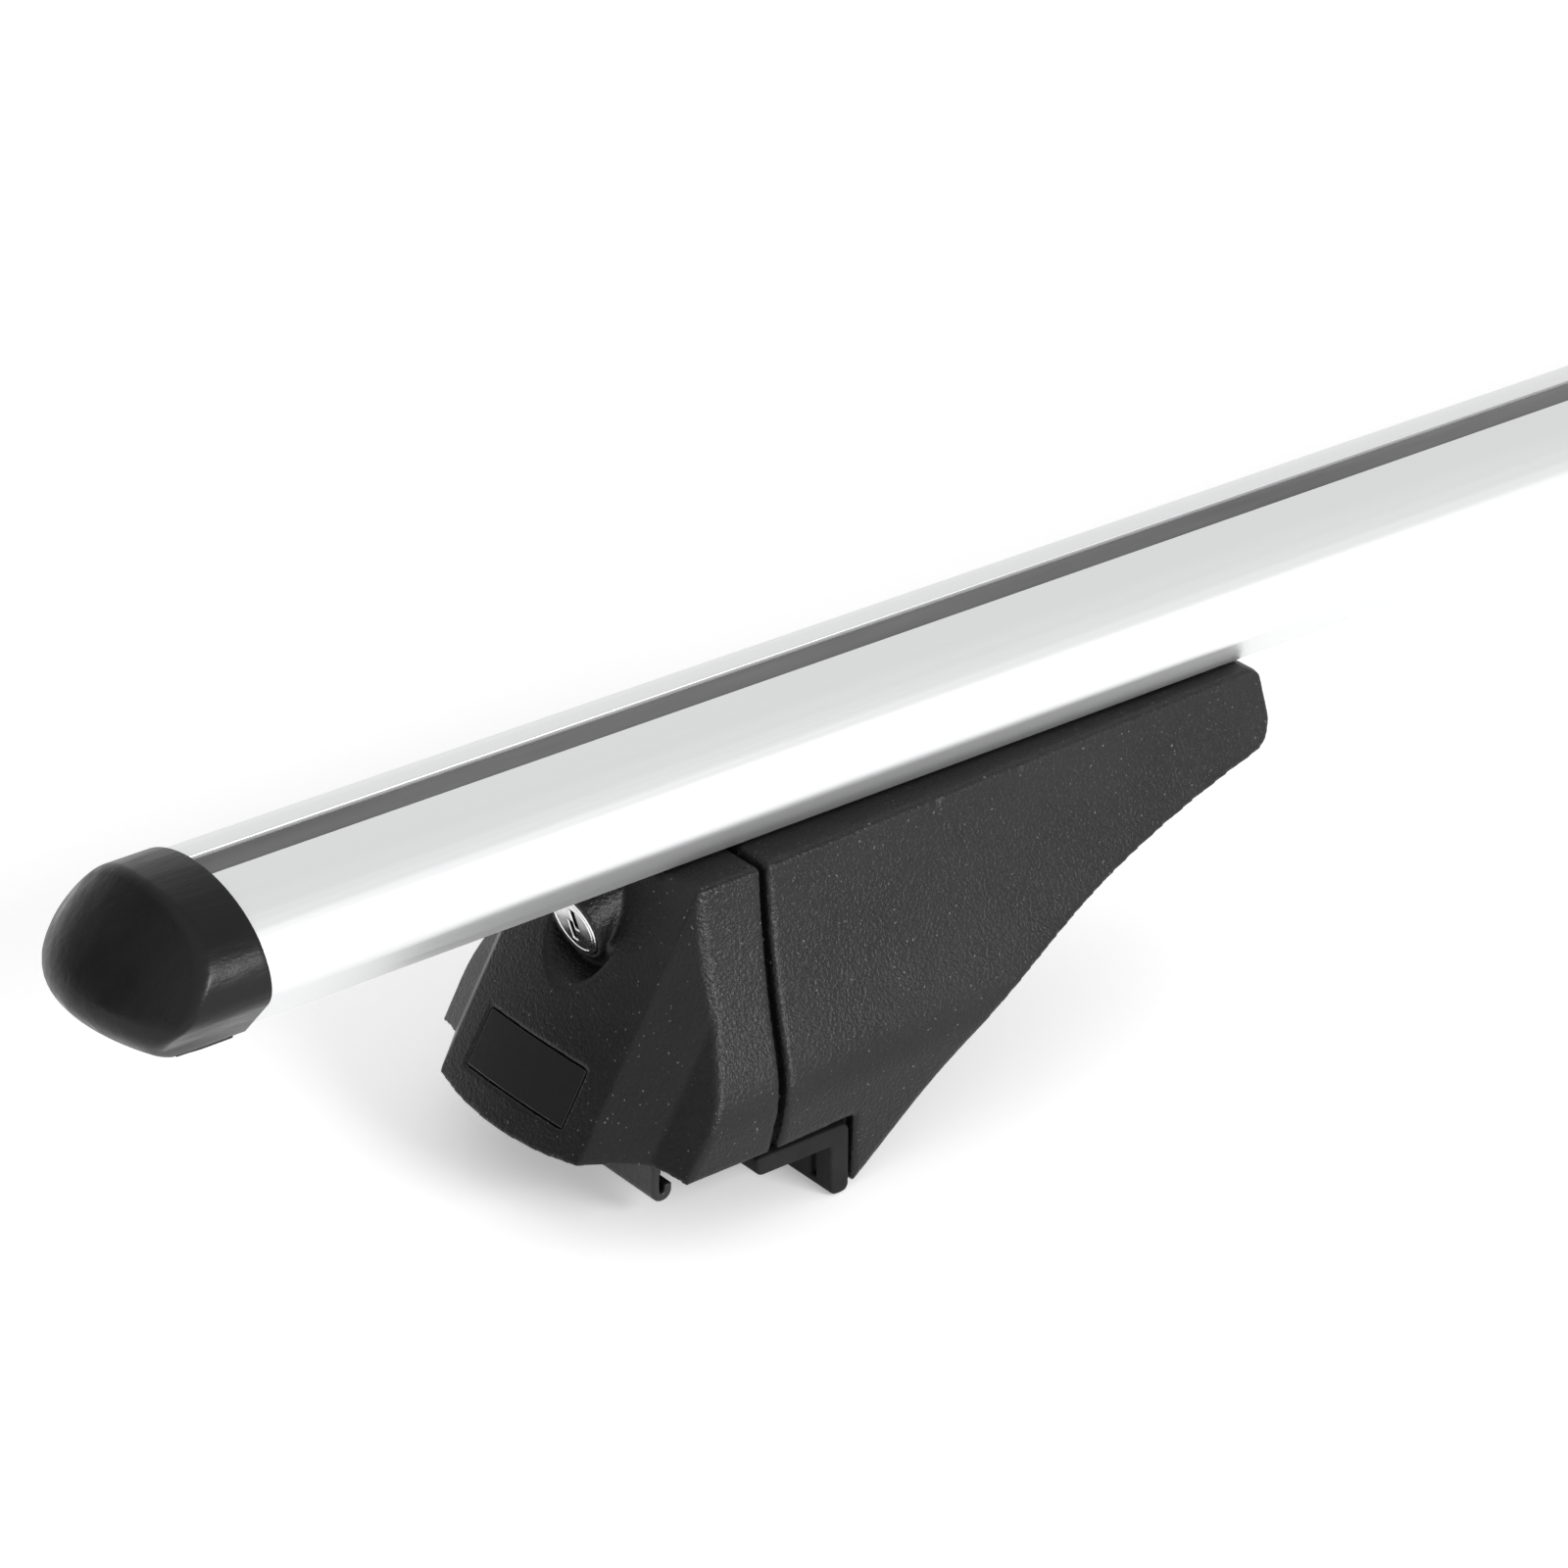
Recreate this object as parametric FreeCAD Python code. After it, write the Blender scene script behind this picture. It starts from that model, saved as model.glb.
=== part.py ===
import FreeCAD, Part
import math
import os

from FreeCAD import Vector

# Roof rack crossbar: an aluminium bar with two lockable feet that clamp on a car's raised roof rails.
# Millimetres. X runs along the bar, Y is the car's length, Z is up. The origin is the middle of the
# bar, on the level that the feet's rubber jaws stand on. Each foot is drawn about the middle of its
# roof rail, with x towards the car's middle. The right foot is the left one turned half round.

# Bar
BAR_LENGTH = 1176.0
BAR_WIDTH = 50.0
BAR_BOTTOM_Z = 74.2
BAR_HEIGHT = 30.5
BAR_NOSE_RISE = 14.1
BAR_NOSE_RADIUS = 6.0
BAR_FLAT_WIDTH = 29.0
BAR_LIP_RADIUS = 1.6
BAR_CORNER_SHARE = 0.4
BAR_WALL = 1.8
SLOT_OPENING = 8.6
SLOT_LIP = 2.0
SLOT_WIDTH = 17.0
SLOT_HEIGHT = 6.5
CHANNEL_OPENING = 8.4
CHANNEL_LIP = 2.4
CHANNEL_WIDTH = 16.0
CHANNEL_HEIGHT = 6.2

# Rubber strip in the top slot
STRIP_DEPTH = 1.1
STRIP_SIDE_GAP = 0.25
STRIP_WING = 2.4
STRIP_WING_THICKNESS = 1.6
STRIP_STEM = 3.6

# End caps
CAP_SLEEVE = 12.0
CAP_RIM = 1.0
CAP_FIT = 0.12
CAP_RIDGE_WIDTH = 30.0
CAP_RIDGE_HEIGHT = 0.4
CAP_RIDGE_INSET = 3.0
CAP_TONGUE_LENGTH = 9.0
CAP_TONGUE_WIDTH = 5.5
CAP_TONGUE_HEIGHT = 11.0
CAP_TONGUE_GAP = 0.3
CAP_POCKET_HEIGHT = 16.0
CAP_POCKET_DEPTH = 7.0

# Domed end face of a cap: how far it reaches past the bar, and how it falls back by height and width
CAP_FACE_REACH = 18.4
CAP_FACE_SPAN = 16.0
CAP_FACE_TILT = 7.8
CAP_FACE_ARCH = 14.0
CAP_FACE_LIFT = -6.0
CAP_FACE_CROWN = 10.0
CAP_FACE_EDGE = 2.1
CAP_FACE_TWIST = 3.0
CAP_FACE_STEPS = 5

# Feet: where they stand, and the outline of a foot seen along the bar
FOOT_X = 464.0
FOOT_TOP_GAP = 0.2
FOOT_SHOULDER = 25.7
FOOT_SHOULDER_ROUND = 1.6
FOOT_SHOULDER_LEAN = 0.3
FOOT_ROUND_SHARE = 0.3
FOOT_HALF_WIDTH = 45.0
FOOT_BOW = 1.25
FOOT_CREASE_Z = 31.7
FOOT_CREASE_ROUND = 6.0
FOOT_CREASE_EASE_Y = 0.9
FOOT_CREASE_EASE_Z = 0.6
FOOT_TOE_HALF_WIDTH = 43.5
FOOT_NARROWING = 6.1
SEAM_TOP_X = 10.2
SEAM_SLOPE = 0.228
SEAM_GAP = 1.7

# Foot body: the long wedge seen from the side, with its curved underside from toe to heel
WEDGE_END_X = 158.2
WEDGE_END_ROUND = 2.0
WEDGE_HEEL_Z = 56.5
WEDGE_HEEL_RADIUS = 8.0
WEDGE_HEEL_SLOPE = 11.5
WEDGE_UNDERSIDE = ((30.0, 7.5), (41.0, 16.2), (62.0, 29.0), (96.0, 43.0), (130.0, 52.2))
TOE_Z = 0.9
TOE_THICKNESS = 2.2
NOTCH_Z = 16.8
NOTCH_X = 19.5
NOTCH_MARGIN = 1.2
NOTCH_MARGIN_DEPTH = 2.5
NECK_X = -3.0
NECK_GAP = 0.5

# Cover: a moulded shell with a tilted, slightly bowed end panel and two facets on each side
COVER_WALL = 2.6
COVER_TOP_GAP = 0.3
PANEL_FOOT_X = -38.8
PANEL_FOOT_Z = 19.2
PANEL_SLOPE = 0.6
PANEL_HALF_WIDTH = 25.0
PANEL_BOW = 2.3
FACET_A_RATE = 1.03
FACET_B_RATE = 0.45
FACET_EDGE_Y = 35.5
COVER_MIDDLE_Z = 17.6
COVER_PANEL_Z = 18.7
COVER_ARCH_Z = 19.5
COVER_CORNER_Z = 17.9
COVER_CORNER_SHARE = 0.95

# Badge recess and its blank insert
BADGE_WIDTH = 34.6
BADGE_HEIGHT = 13.8
BADGE_Z = 29.1
BADGE_DEPTH = 1.3
BADGE_GAP = 0.15
BADGE_THICKNESS = 0.9
BADGE_SEAT = 0.1

# Lock, on an axis that leans down towards its face
LOCK_TILT = 16.0
LOCK_FACE_X = -20.5
LOCK_FACE_Z = 59.7
LOCK_HEAD_RADIUS = 7.4
LOCK_HEAD_LENGTH = 2.4
LOCK_BODY_RADIUS = 6.0
LOCK_BODY_LENGTH = 15.5
LOCK_BORE_GAP = 0.1
LOCK_BOSS_WALL = 1.4
LOCK_BOSS_LENGTH = 18.0
LOCK_BORE_OVERRUN = 1.0
LOCK_POCKET_RADIUS = 11.0
LOCK_POCKET_DEPTH = 1.5
PLUG_FACE_RADIUS = 6.3
PLUG_FACE_LENGTH = 1.6
PLUG_RADIUS = 4.2
PLUG_TAIL_RADIUS = 2.6
PLUG_GAP = 0.05
KEYWAY_WIDTH = 1.5
KEYWAY_LENGTH = 8.4
KEYWAY_JOG = 1.7
KEYWAY_DEPTH = 6.0
CAM_THICKNESS = 2.0
CAM_REACH = 13.0
CAM_WIDTH = 7.0
CAM_GAP = 0.3

# Catch on the foot body, behind which the lock's cam turns
CATCH_BOTTOM_Z = 47.7
CATCH_TOP_Z = 56.7
CATCH_THICKNESS = 3.0
CATCH_REACH = 5.0
CATCH_HALF_WIDTH = 17.0
CAM_POCKET_FLOOR = 51.0
CAM_POCKET_LENGTH = 9.5
CAM_POCKET_HALF_WIDTH = 14.5

# Cored pockets on the front of the neck, two on each side of the clamp screw
CORE_SPANS = ((11.0, 20.0), (22.0, 31.0))
CORE_BOTTOM_Z = 20.7
CORE_TOP_Z = 42.7
CORE_DEPTH = 6.0

# Rubber jaw pad, an angle in the notch under the foot body
PAD_LEFT_X = -5.5
PAD_TOP_THICKNESS = 4.4
PAD_LEG_THICKNESS = 5.0
PAD_HALF_WIDTH = 43.8
PAD_ROUND = 1.8
PAD_GROOVE_Y = 37.5
PAD_GROOVE_WIDTH = 1.8
PAD_GROOVE_DEPTH = 1.4
PAD_GROOVE_HEIGHT = 7.0

# Clamp claw, its rubber, its screw, washer and nut
CLAW_THICKNESS = 2.0
CLAW_HALF_WIDTH = 29.0
CLAW_UPPER_HALF_WIDTH = 21.0
CLAW_TOP_Z = 45.7
CLAW_UPPER_X = -15.6
CLAW_LOWER_X = -22.0
CLAW_JOG_LOW_Z = 15.2
CLAW_JOG_HIGH_Z = 20.7
CLAW_JOG_SHARE = 0.4
CLAW_HOOK_INSIDE = 0.6
CLAW_BOTTOM_Z = 4.7
CLAW_TIP_RISE = 1.4
CLAW_PAD_THICKNESS = 2.6
CLAW_PAD_HALF_WIDTH = 26.0
CLAW_PAD_HEIGHT = 5.0
CLAW_PAD_RISE = 0.4
SCREW_Z = 29.7
SCREW_RADIUS = 4.0
SCREW_END_X = 22.0
SCREW_HEAD_RADIUS = 6.5
SCREW_HEAD_LENGTH = 6.5
SCREW_SOCKET = 6.0
SCREW_SOCKET_DEPTH = 4.0
SCREW_WASHER_RADIUS = 8.0
SCREW_WASHER_THICKNESS = 1.6
SCREW_HOLE_GAP = 0.4
SCREW_END_GAP = 2.0
NUT_FLATS = 13.0
NUT_THICKNESS = 6.5
NUT_X = 0.5
NUT_GAP = 0.2
THREAD_GAP = 0.05
CLAMP_TRAVEL = 8.0

# Bolts that hold each foot in the bar's bottom channel
BOLT_PLACES = {"outer": 48.0, "inner": 122.0}
BOLT_RADIUS = 3.0
BOLT_HOLE_GAP = 0.3
BOLT_HEAD_LENGTH = 14.0
BOLT_HEAD_HEIGHT = 4.0
BOLT_HEAD_SIDE_GAP = 0.5
BOLT_SEAT_GAP = 0.25
BOLT_PLATE = 9.0
BOLT_NUT_FLATS = 10.0
BOLT_NUT_THICKNESS = 5.0
BOLT_WASHER_RADIUS = 6.0
BOLT_WASHER_THICKNESS = 1.2
BOLT_WELL_RADIUS = 7.2
BOLT_END = 2.0

# Worked out from the sizes above
BAR_TOP_Z = BAR_BOTTOM_Z + BAR_HEIGHT
NOSE_Z = BAR_BOTTOM_Z + BAR_NOSE_RISE
FOOT_TOP_Z = BAR_BOTTOM_Z - FOOT_TOP_GAP
COVER_TOP_Z = BAR_BOTTOM_Z - COVER_TOP_GAP
PANEL_SHIFT = COVER_WALL * math.hypot(1.0, PANEL_SLOPE)
PANEL_RADIUS = (PANEL_HALF_WIDTH ** 2 + PANEL_BOW ** 2) / (2.0 * PANEL_BOW)

# How far cutting shapes reach beyond what they cut, and how near counts as the same place
OVERRUN = 1.0
FAR = 400.0
BELOW_Z = -20.0
ABOVE_Z = BAR_TOP_Z
NEAR = 0.01


def box(x0, x1, y0, y1, z0, z1):
    """Box between two corners"""
    return Part.makeBox(x1 - x0, y1 - y0, z1 - z0, Vector(x0, y0, z0))


def line(a, b):
    return Part.LineSegment(a, b).toShape()


def arc(a, b, c):
    return Part.Arc(a, b, c).toShape()


def face_of(edges):
    return Part.Face(Part.Wire(Part.__sortEdges__(edges)))


def polygon(points):
    return Part.Face(Part.makePolygon(points + points[:1]))


def rod(radius, x0, x1, y=0.0, z=0.0):
    """Round rod along X"""
    return Part.makeCylinder(radius, x1 - x0, Vector(x0, y, z), Vector(1, 0, 0))


def post(radius, z0, z1, x=0.0, y=0.0):
    """Round rod along Z"""
    return Part.makeCylinder(radius, z1 - z0, Vector(x, y, z0), Vector(0, 0, 1))


def hexagon_x(flats, x0, x1, z):
    """Hexagonal rod along X with its corners up and down"""
    corner = flats / math.sqrt(3.0)
    turns = [math.radians(60.0 * step) for step in range(6)]
    points = [Vector(x0, corner * math.sin(turn), z + corner * math.cos(turn)) for turn in turns]
    return polygon(points).extrude(Vector(x1 - x0, 0, 0))


def hexagon_z(flats, z0, z1, x):
    """Hexagonal rod along Z"""
    corner = flats / math.sqrt(3.0)
    turns = [math.radians(60.0 * step) for step in range(6)]
    points = [Vector(x + corner * math.cos(turn), corner * math.sin(turn), z0) for turn in turns]
    return polygon(points).extrude(Vector(0, 0, z1 - z0))


def side_view(points):
    """Plate with an outline of x and z, as wide as anything on a foot"""
    corners = [Vector(x, -FAR / 2.0, z) for x, z in points]
    return polygon(corners).extrude(Vector(0, FAR, 0))


# Bar, strip and caps

def bar_outline(grow=0.0):
    """Half-moon in the YZ plane: half an ellipse on top, a tucked flank and a flat bottom"""
    half = BAR_WIDTH / 2.0 + grow
    low = BAR_BOTTOM_Z - grow
    nose = BAR_NOSE_RADIUS + grow
    lip = BAR_LIP_RADIUS + grow * BAR_CORNER_SHARE
    flat = BAR_FLAT_WIDTH / 2.0 + grow * BAR_CORNER_SHARE
    crest = Vector(0, 0, BAR_TOP_Z + grow)
    ellipse = Part.Ellipse(Vector(0, half, NOSE_Z), crest, Vector(0, 0, NOSE_Z))
    edges = [Part.Arc(ellipse, 0.0, math.pi).toShape()]
    centre = Vector(0, half - nose, NOSE_Z)
    foot = Vector(0, flat, low)
    reach = foot - centre
    tangent = math.atan2(reach.z, reach.y) + math.acos(nose / reach.Length)
    leave = centre + Vector(0, nose * math.cos(tangent), nose * math.sin(tangent))
    through = centre + Vector(0, nose * math.cos(tangent / 2.0), nose * math.sin(tangent / 2.0))
    flank = (foot - leave).normalize()
    setback = lip * math.tan(math.acos(-flank.y) / 2.0)
    lip_start = foot - flank * setback
    lip_end = foot - Vector(0, setback, 0)
    lip_centre = lip_end + Vector(0, 0, lip)
    lip_middle = lip_centre + (foot - lip_centre).normalize() * lip
    for side in (1.0, -1.0):
        turned = [Vector(0, side * p.y, p.z)
                  for p in (Vector(0, half, NOSE_Z), through, leave, lip_start, lip_middle, lip_end)]
        edges.append(arc(turned[0], turned[1], turned[2]))
        edges.append(line(turned[2], turned[3]))
        edges.append(arc(turned[3], turned[4], turned[5]))
    edges.append(line(lip_end, Vector(0, -lip_end.y, low)))
    return face_of(edges)


def section_block(half_width, z0, z1):
    """Rectangle in the YZ plane, about the middle of the bar"""
    corners = [Vector(0, -half_width, z0), Vector(0, half_width, z0)]
    corners += [Vector(0, half_width, z1), Vector(0, -half_width, z1)]
    return polygon(corners)


SLOT_ROOF_Z = BAR_TOP_Z - SLOT_LIP
SLOT_FLOOR_Z = SLOT_ROOF_Z - SLOT_HEIGHT
CHANNEL_FLOOR_Z = BAR_BOTTOM_Z + CHANNEL_LIP
CHANNEL_ROOF_Z = CHANNEL_FLOOR_Z + CHANNEL_HEIGHT


def make_bar():
    """Hollow extrusion with a slot on top, a bolt channel below and a web between them"""
    chambers = bar_outline(-BAR_WALL)
    solid_zones = [
        section_block(SLOT_WIDTH / 2.0 + BAR_WALL, SLOT_FLOOR_Z - BAR_WALL, FAR),
        section_block(CHANNEL_WIDTH / 2.0 + BAR_WALL, 0.0, CHANNEL_ROOF_Z + BAR_WALL),
        section_block(BAR_WALL / 2.0, 0.0, FAR),
    ]
    hollows = [
        chambers.cut(solid_zones),
        section_block(SLOT_WIDTH / 2.0, SLOT_FLOOR_Z, SLOT_ROOF_Z),
        section_block(SLOT_OPENING / 2.0, SLOT_ROOF_Z, FAR),
        section_block(CHANNEL_WIDTH / 2.0, CHANNEL_FLOOR_Z, CHANNEL_ROOF_Z),
        section_block(CHANNEL_OPENING / 2.0, 0.0, CHANNEL_FLOOR_Z),
    ]
    section = bar_outline().cut(hollows)
    section.translate(Vector(-BAR_LENGTH / 2.0, 0, 0))
    return section.Faces[0].extrude(Vector(BAR_LENGTH, 0, 0))


def make_strip():
    """Rubber infill: a head in the slot's mouth, wings under its lips and a stem on its floor"""
    mouth = SLOT_OPENING / 2.0 - STRIP_SIDE_GAP
    wing_top = SLOT_ROOF_Z - STRIP_SIDE_GAP
    half = BAR_LENGTH / 2.0
    head = box(-half, half, -mouth, mouth, wing_top, BAR_TOP_Z - STRIP_DEPTH)
    wing = mouth + STRIP_WING
    wings = box(-half, half, -wing, wing, wing_top - STRIP_WING_THICKNESS, wing_top)
    stem = box(-half, half, -STRIP_STEM / 2.0, STRIP_STEM / 2.0, SLOT_FLOOR_Z, wing_top)
    return head.fuse([wings, stem]).removeSplitter()


def cap_face_x(y, z):
    """Where the left cap's domed end is, at a point of the bar's section"""
    across = (y / (BAR_WIDTH / 2.0 + CAP_RIM)) ** 2
    up = (z - NOSE_Z) / CAP_FACE_SPAN
    back = CAP_FACE_TILT * up + CAP_FACE_ARCH * up ** 2 + CAP_FACE_LIFT * up ** 3
    back += CAP_FACE_CROWN * across + CAP_FACE_EDGE * across ** 2 + CAP_FACE_TWIST * across * up
    return -BAR_LENGTH / 2.0 - CAP_FACE_REACH + back


def cap_face_block():
    """Block behind the domed end face of the left cap"""
    half = BAR_WIDTH / 2.0 + CAP_RIM + OVERRUN
    low = BAR_BOTTOM_Z - CAP_RIM - CAP_RIDGE_HEIGHT - OVERRUN
    high = BAR_TOP_Z + CAP_RIM + OVERRUN
    rows = []
    for row in range(CAP_FACE_STEPS + 1):
        y = -half + 2.0 * half * row / CAP_FACE_STEPS
        heights = [low + (high - low) * step / CAP_FACE_STEPS for step in range(CAP_FACE_STEPS + 1)]
        rows.append([Vector(cap_face_x(y, z), y, z) for z in heights])
    surface = Part.BSplineSurface()
    surface.interpolate(rows)
    return surface.toShape().extrude(Vector(FAR, 0, 0))


def make_left_cap():
    """Moulded cap: a sleeve round the bar's end, a domed end face, a ridge, tongues and a pocket"""
    end = -BAR_LENGTH / 2.0
    rim = end + CAP_SLEEVE
    tip = end - CAP_FACE_REACH - CAP_SLEEVE
    outside = bar_outline(CAP_RIM)
    outside.translate(Vector(tip, 0, 0))
    ridge_top = BAR_BOTTOM_Z - CAP_FIT
    ridge_low = BAR_BOTTOM_Z - CAP_RIM - CAP_RIDGE_HEIGHT
    ridge_half = CAP_RIDGE_WIDTH / 2.0
    ridge = box(tip, rim - CAP_RIDGE_INSET, -ridge_half, ridge_half, ridge_low, ridge_top)
    cap = outside.extrude(Vector(rim - tip, 0, 0)).fuse(ridge).common(cap_face_block())
    socket = bar_outline(CAP_FIT)
    socket.translate(Vector(end, 0, 0))
    inner = max(SLOT_WIDTH, CHANNEL_WIDTH) / 2.0 + BAR_WALL + CAP_TONGUE_GAP
    height = CAP_POCKET_HEIGHT / 2.0
    pocket = box(end - CAP_POCKET_DEPTH, end, -inner, inner, NOSE_Z - height, NOSE_Z + height)
    cap = cap.cut([socket.extrude(Vector(BAR_LENGTH, 0, 0)), pocket])
    low = NOSE_Z - CAP_TONGUE_HEIGHT / 2.0
    for side in (1.0, -1.0):
        across = sorted((side * inner, side * (inner + CAP_TONGUE_WIDTH)))
        reach = end + CAP_TONGUE_LENGTH
        cap = cap.fuse(box(end - OVERRUN, reach, across[0], across[1], low, low + CAP_TONGUE_HEIGHT))
    return cap.removeSplitter()


# Outline of a foot seen along the bar

def foot_section(x, inset, top):
    """Outline in the plane at x: narrow shoulders, bowed flanks, a soft crease and steep toes"""
    rise = FOOT_TOP_Z - FOOT_CREASE_Z
    flank = []
    for share in (0.25, 0.5, 0.75):
        z = FOOT_TOP_Z - rise * share
        flank.append(Vector(x, FOOT_SHOULDER + (FOOT_HALF_WIDTH - FOOT_SHOULDER) * share ** FOOT_BOW, z))
    shoulder = FOOT_SHOULDER + (FOOT_TOP_Z - top) * FOOT_SHOULDER_LEAN
    start = Vector(x, shoulder, top - FOOT_SHOULDER_ROUND)
    eased = FOOT_HALF_WIDTH - FOOT_CREASE_EASE_Y
    crease_high = Vector(x, eased, FOOT_CREASE_Z + FOOT_CREASE_EASE_Z)
    crease_low = Vector(x, FOOT_HALF_WIDTH, FOOT_CREASE_Z - FOOT_CREASE_ROUND)
    curve = [start] + flank + [crease_high, crease_low]
    toe = Vector(x, FOOT_TOE_HALF_WIDTH, 0)
    edges = []
    tops = []
    toes = []
    for side in (1.0, -1.0):
        def seen(p):
            return Vector(p.x, side * (p.y - inset), p.z)
        spline = Part.BSplineCurve()
        spline.interpolate([seen(p) for p in curve])
        round_top = Vector(x, shoulder - FOOT_SHOULDER_ROUND, top)
        back = FOOT_SHOULDER_ROUND * FOOT_ROUND_SHARE
        round_middle = Vector(x, shoulder - back, top - back)
        edges.append(arc(seen(round_top), seen(round_middle), seen(start)))
        edges.append(spline.toShape())
        edges.append(line(seen(crease_low), seen(toe)))
        tops.append(seen(round_top))
        toes.append(seen(toe))
    edges.append(line(tops[0], tops[1]))
    edges.append(line(toes[0], toes[1]))
    return Part.Wire(Part.__sortEdges__(edges))


def foot_prism(x0, x1, inset, top):
    """Straight block with a foot's outline"""
    return Part.Face(foot_section(x0, inset, top)).extrude(Vector(x1 - x0, 0, 0))


def seam_x(z):
    """The seam between cover and foot body leans outwards towards the bottom"""
    return SEAM_TOP_X + SEAM_SLOPE * (z - FOOT_TOP_Z)


# Foot body

def wedge_outline():
    """Side view of the foot body: seam, top, heel, curved underside, toe and notch"""
    end = WEDGE_END_X
    high = FOOT_TOP_Z
    lean = math.radians(WEDGE_HEEL_SLOPE)
    round_x = end - WEDGE_HEEL_RADIUS
    heel = Vector(round_x + WEDGE_HEEL_RADIUS * math.sin(lean), 0, WEDGE_HEEL_Z)
    round_z = WEDGE_HEEL_Z + WEDGE_HEEL_RADIUS * math.cos(lean)
    turn = (math.pi / 2.0 - lean) / 2.0
    middle_x = round_x + WEDGE_HEEL_RADIUS * math.cos(turn)
    heel_middle = Vector(middle_x, 0, round_z - WEDGE_HEEL_RADIUS * math.sin(turn))
    heel_end = Vector(end, 0, round_z)
    wall_top = Vector(end, 0, high - WEDGE_END_ROUND)
    top_end = Vector(end - WEDGE_END_ROUND, 0, high)
    toe_end = Vector(NOTCH_X + TOE_THICKNESS, 0, TOE_Z)
    underside = Part.BSplineCurve()
    points = [toe_end] + [Vector(x, 0, z) for x, z in WEDGE_UNDERSIDE] + [heel]
    underside.interpolate(points)
    low = Vector(seam_x(NOTCH_Z) + SEAM_GAP, 0, NOTCH_Z)
    notch = Vector(NOTCH_X, 0, NOTCH_Z)
    toe_start = Vector(NOTCH_X, 0, TOE_Z)
    seam_top = Vector(seam_x(high) + SEAM_GAP, 0, high)
    edges = [
        line(low, notch),
        line(notch, toe_start),
        line(toe_start, toe_end),
        underside.toShape(),
        arc(heel, heel_middle, heel_end),
        line(heel_end, wall_top),
        line(wall_top, top_end),
        line(top_end, seam_top),
        line(seam_top, low),
    ]
    return face_of(edges)


def narrowing(x):
    """How much narrower than at the seam each side of the foot body is"""
    return FOOT_NARROWING * (x - SEAM_TOP_X) / (WEDGE_END_X - SEAM_TOP_X)


def make_wedge():
    """Foot body outside the cover, narrowing towards the middle of the bar"""
    x0 = NECK_X - SEAM_GAP
    x1 = WEDGE_END_X + SEAM_GAP
    wires = [foot_section(x0, narrowing(x0), FOOT_TOP_Z), foot_section(x1, narrowing(x1), FOOT_TOP_Z)]
    block = Part.makeLoft(wires, True, True)
    plate = wedge_outline()
    plate.translate(Vector(0, -FAR / 2.0, 0))
    return block.common(plate.extrude(Vector(0, FAR, 0)))


def make_neck():
    """Core that the cover slides over, with the lock's catch on its upper front"""
    top = COVER_TOP_Z - COVER_WALL - NECK_GAP
    inset = COVER_WALL + NECK_GAP
    back = SEAM_TOP_X + SEAM_GAP * 2.0
    neck = foot_prism(NECK_X, back, inset, top)
    neck = neck.cut(box(-FAR, FAR, -FAR, FAR, -FAR, NOTCH_Z))
    front = NECK_X - CATCH_REACH
    catch = box(front, NECK_X, -CATCH_HALF_WIDTH, CATCH_HALF_WIDTH, CATCH_BOTTOM_Z, CATCH_TOP_Z)
    window_end = NECK_X + CAM_POCKET_LENGTH
    window = box(front, window_end, -CATCH_HALF_WIDTH, CATCH_HALF_WIDTH, CATCH_TOP_Z, FAR)
    wall = front + CATCH_THICKNESS
    half = CAM_POCKET_HALF_WIDTH
    pocket = box(wall, wall + CAM_POCKET_LENGTH, -half, half, CAM_POCKET_FLOOR, FAR)
    return neck.fuse(catch).cut([window, pocket])


def neck_pockets():
    """Cored pockets between ribs on the front of the neck, beside the clamp screw"""
    pockets = []
    front = NECK_X - OVERRUN
    for y0, y1 in CORE_SPANS:
        for side in (1.0, -1.0):
            across = sorted((side * y0, side * y1))
            pockets.append(box(front, NECK_X + CORE_DEPTH, across[0], across[1], CORE_BOTTOM_Z, CORE_TOP_Z))
    return pockets


def make_foot_body():
    """Wedge and neck in one moulding, with the notch for the jaw, the nut's pocket and bolt wells"""
    body = make_wedge().fuse(make_neck())
    cuts = neck_pockets()
    margin_z = NOTCH_Z + NOTCH_MARGIN
    margin_x = NOTCH_X + NOTCH_MARGIN
    inner = PAD_HALF_WIDTH - NOTCH_MARGIN_DEPTH
    for side in (1.0, -1.0):
        across = sorted((side * inner, side * FAR))
        cuts.append(box(-FAR, margin_x, across[0], across[1], -FAR, margin_z))
    nut_half = NUT_FLATS / 2.0 + NUT_GAP
    nut_top = SCREW_Z + NUT_FLATS / math.sqrt(3.0) + NUT_GAP
    nut_end = NUT_X + NUT_THICKNESS + NUT_GAP
    cuts.append(box(NUT_X - NUT_GAP, nut_end, -nut_half, nut_half, 0.0, nut_top))
    screw_end = SCREW_END_X + CLAMP_TRAVEL + SCREW_END_GAP
    cuts.append(rod(SCREW_RADIUS + SCREW_HOLE_GAP, -FAR, screw_end, 0.0, SCREW_Z))
    for x in BOLT_PLACES.values():
        cuts.append(post(BOLT_RADIUS + BOLT_HOLE_GAP, 0.0, FAR, x))
        cuts.append(post(BOLT_WELL_RADIUS, -FAR, FOOT_TOP_Z - BOLT_PLATE, x))
    return body.cut(cuts).removeSplitter()


# Cover

def facet_start_x(z, shift, rate_b=False):
    """Where a facet's plane would meet the middle of the foot at height z"""
    panel = PANEL_FOOT_X + shift + PANEL_SLOPE * (z - PANEL_FOOT_Z)
    start = panel - FACET_A_RATE * PANEL_HALF_WIDTH
    if not rate_b:
        return start
    return start + (FACET_A_RATE - FACET_B_RATE) * FACET_EDGE_Y


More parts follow.
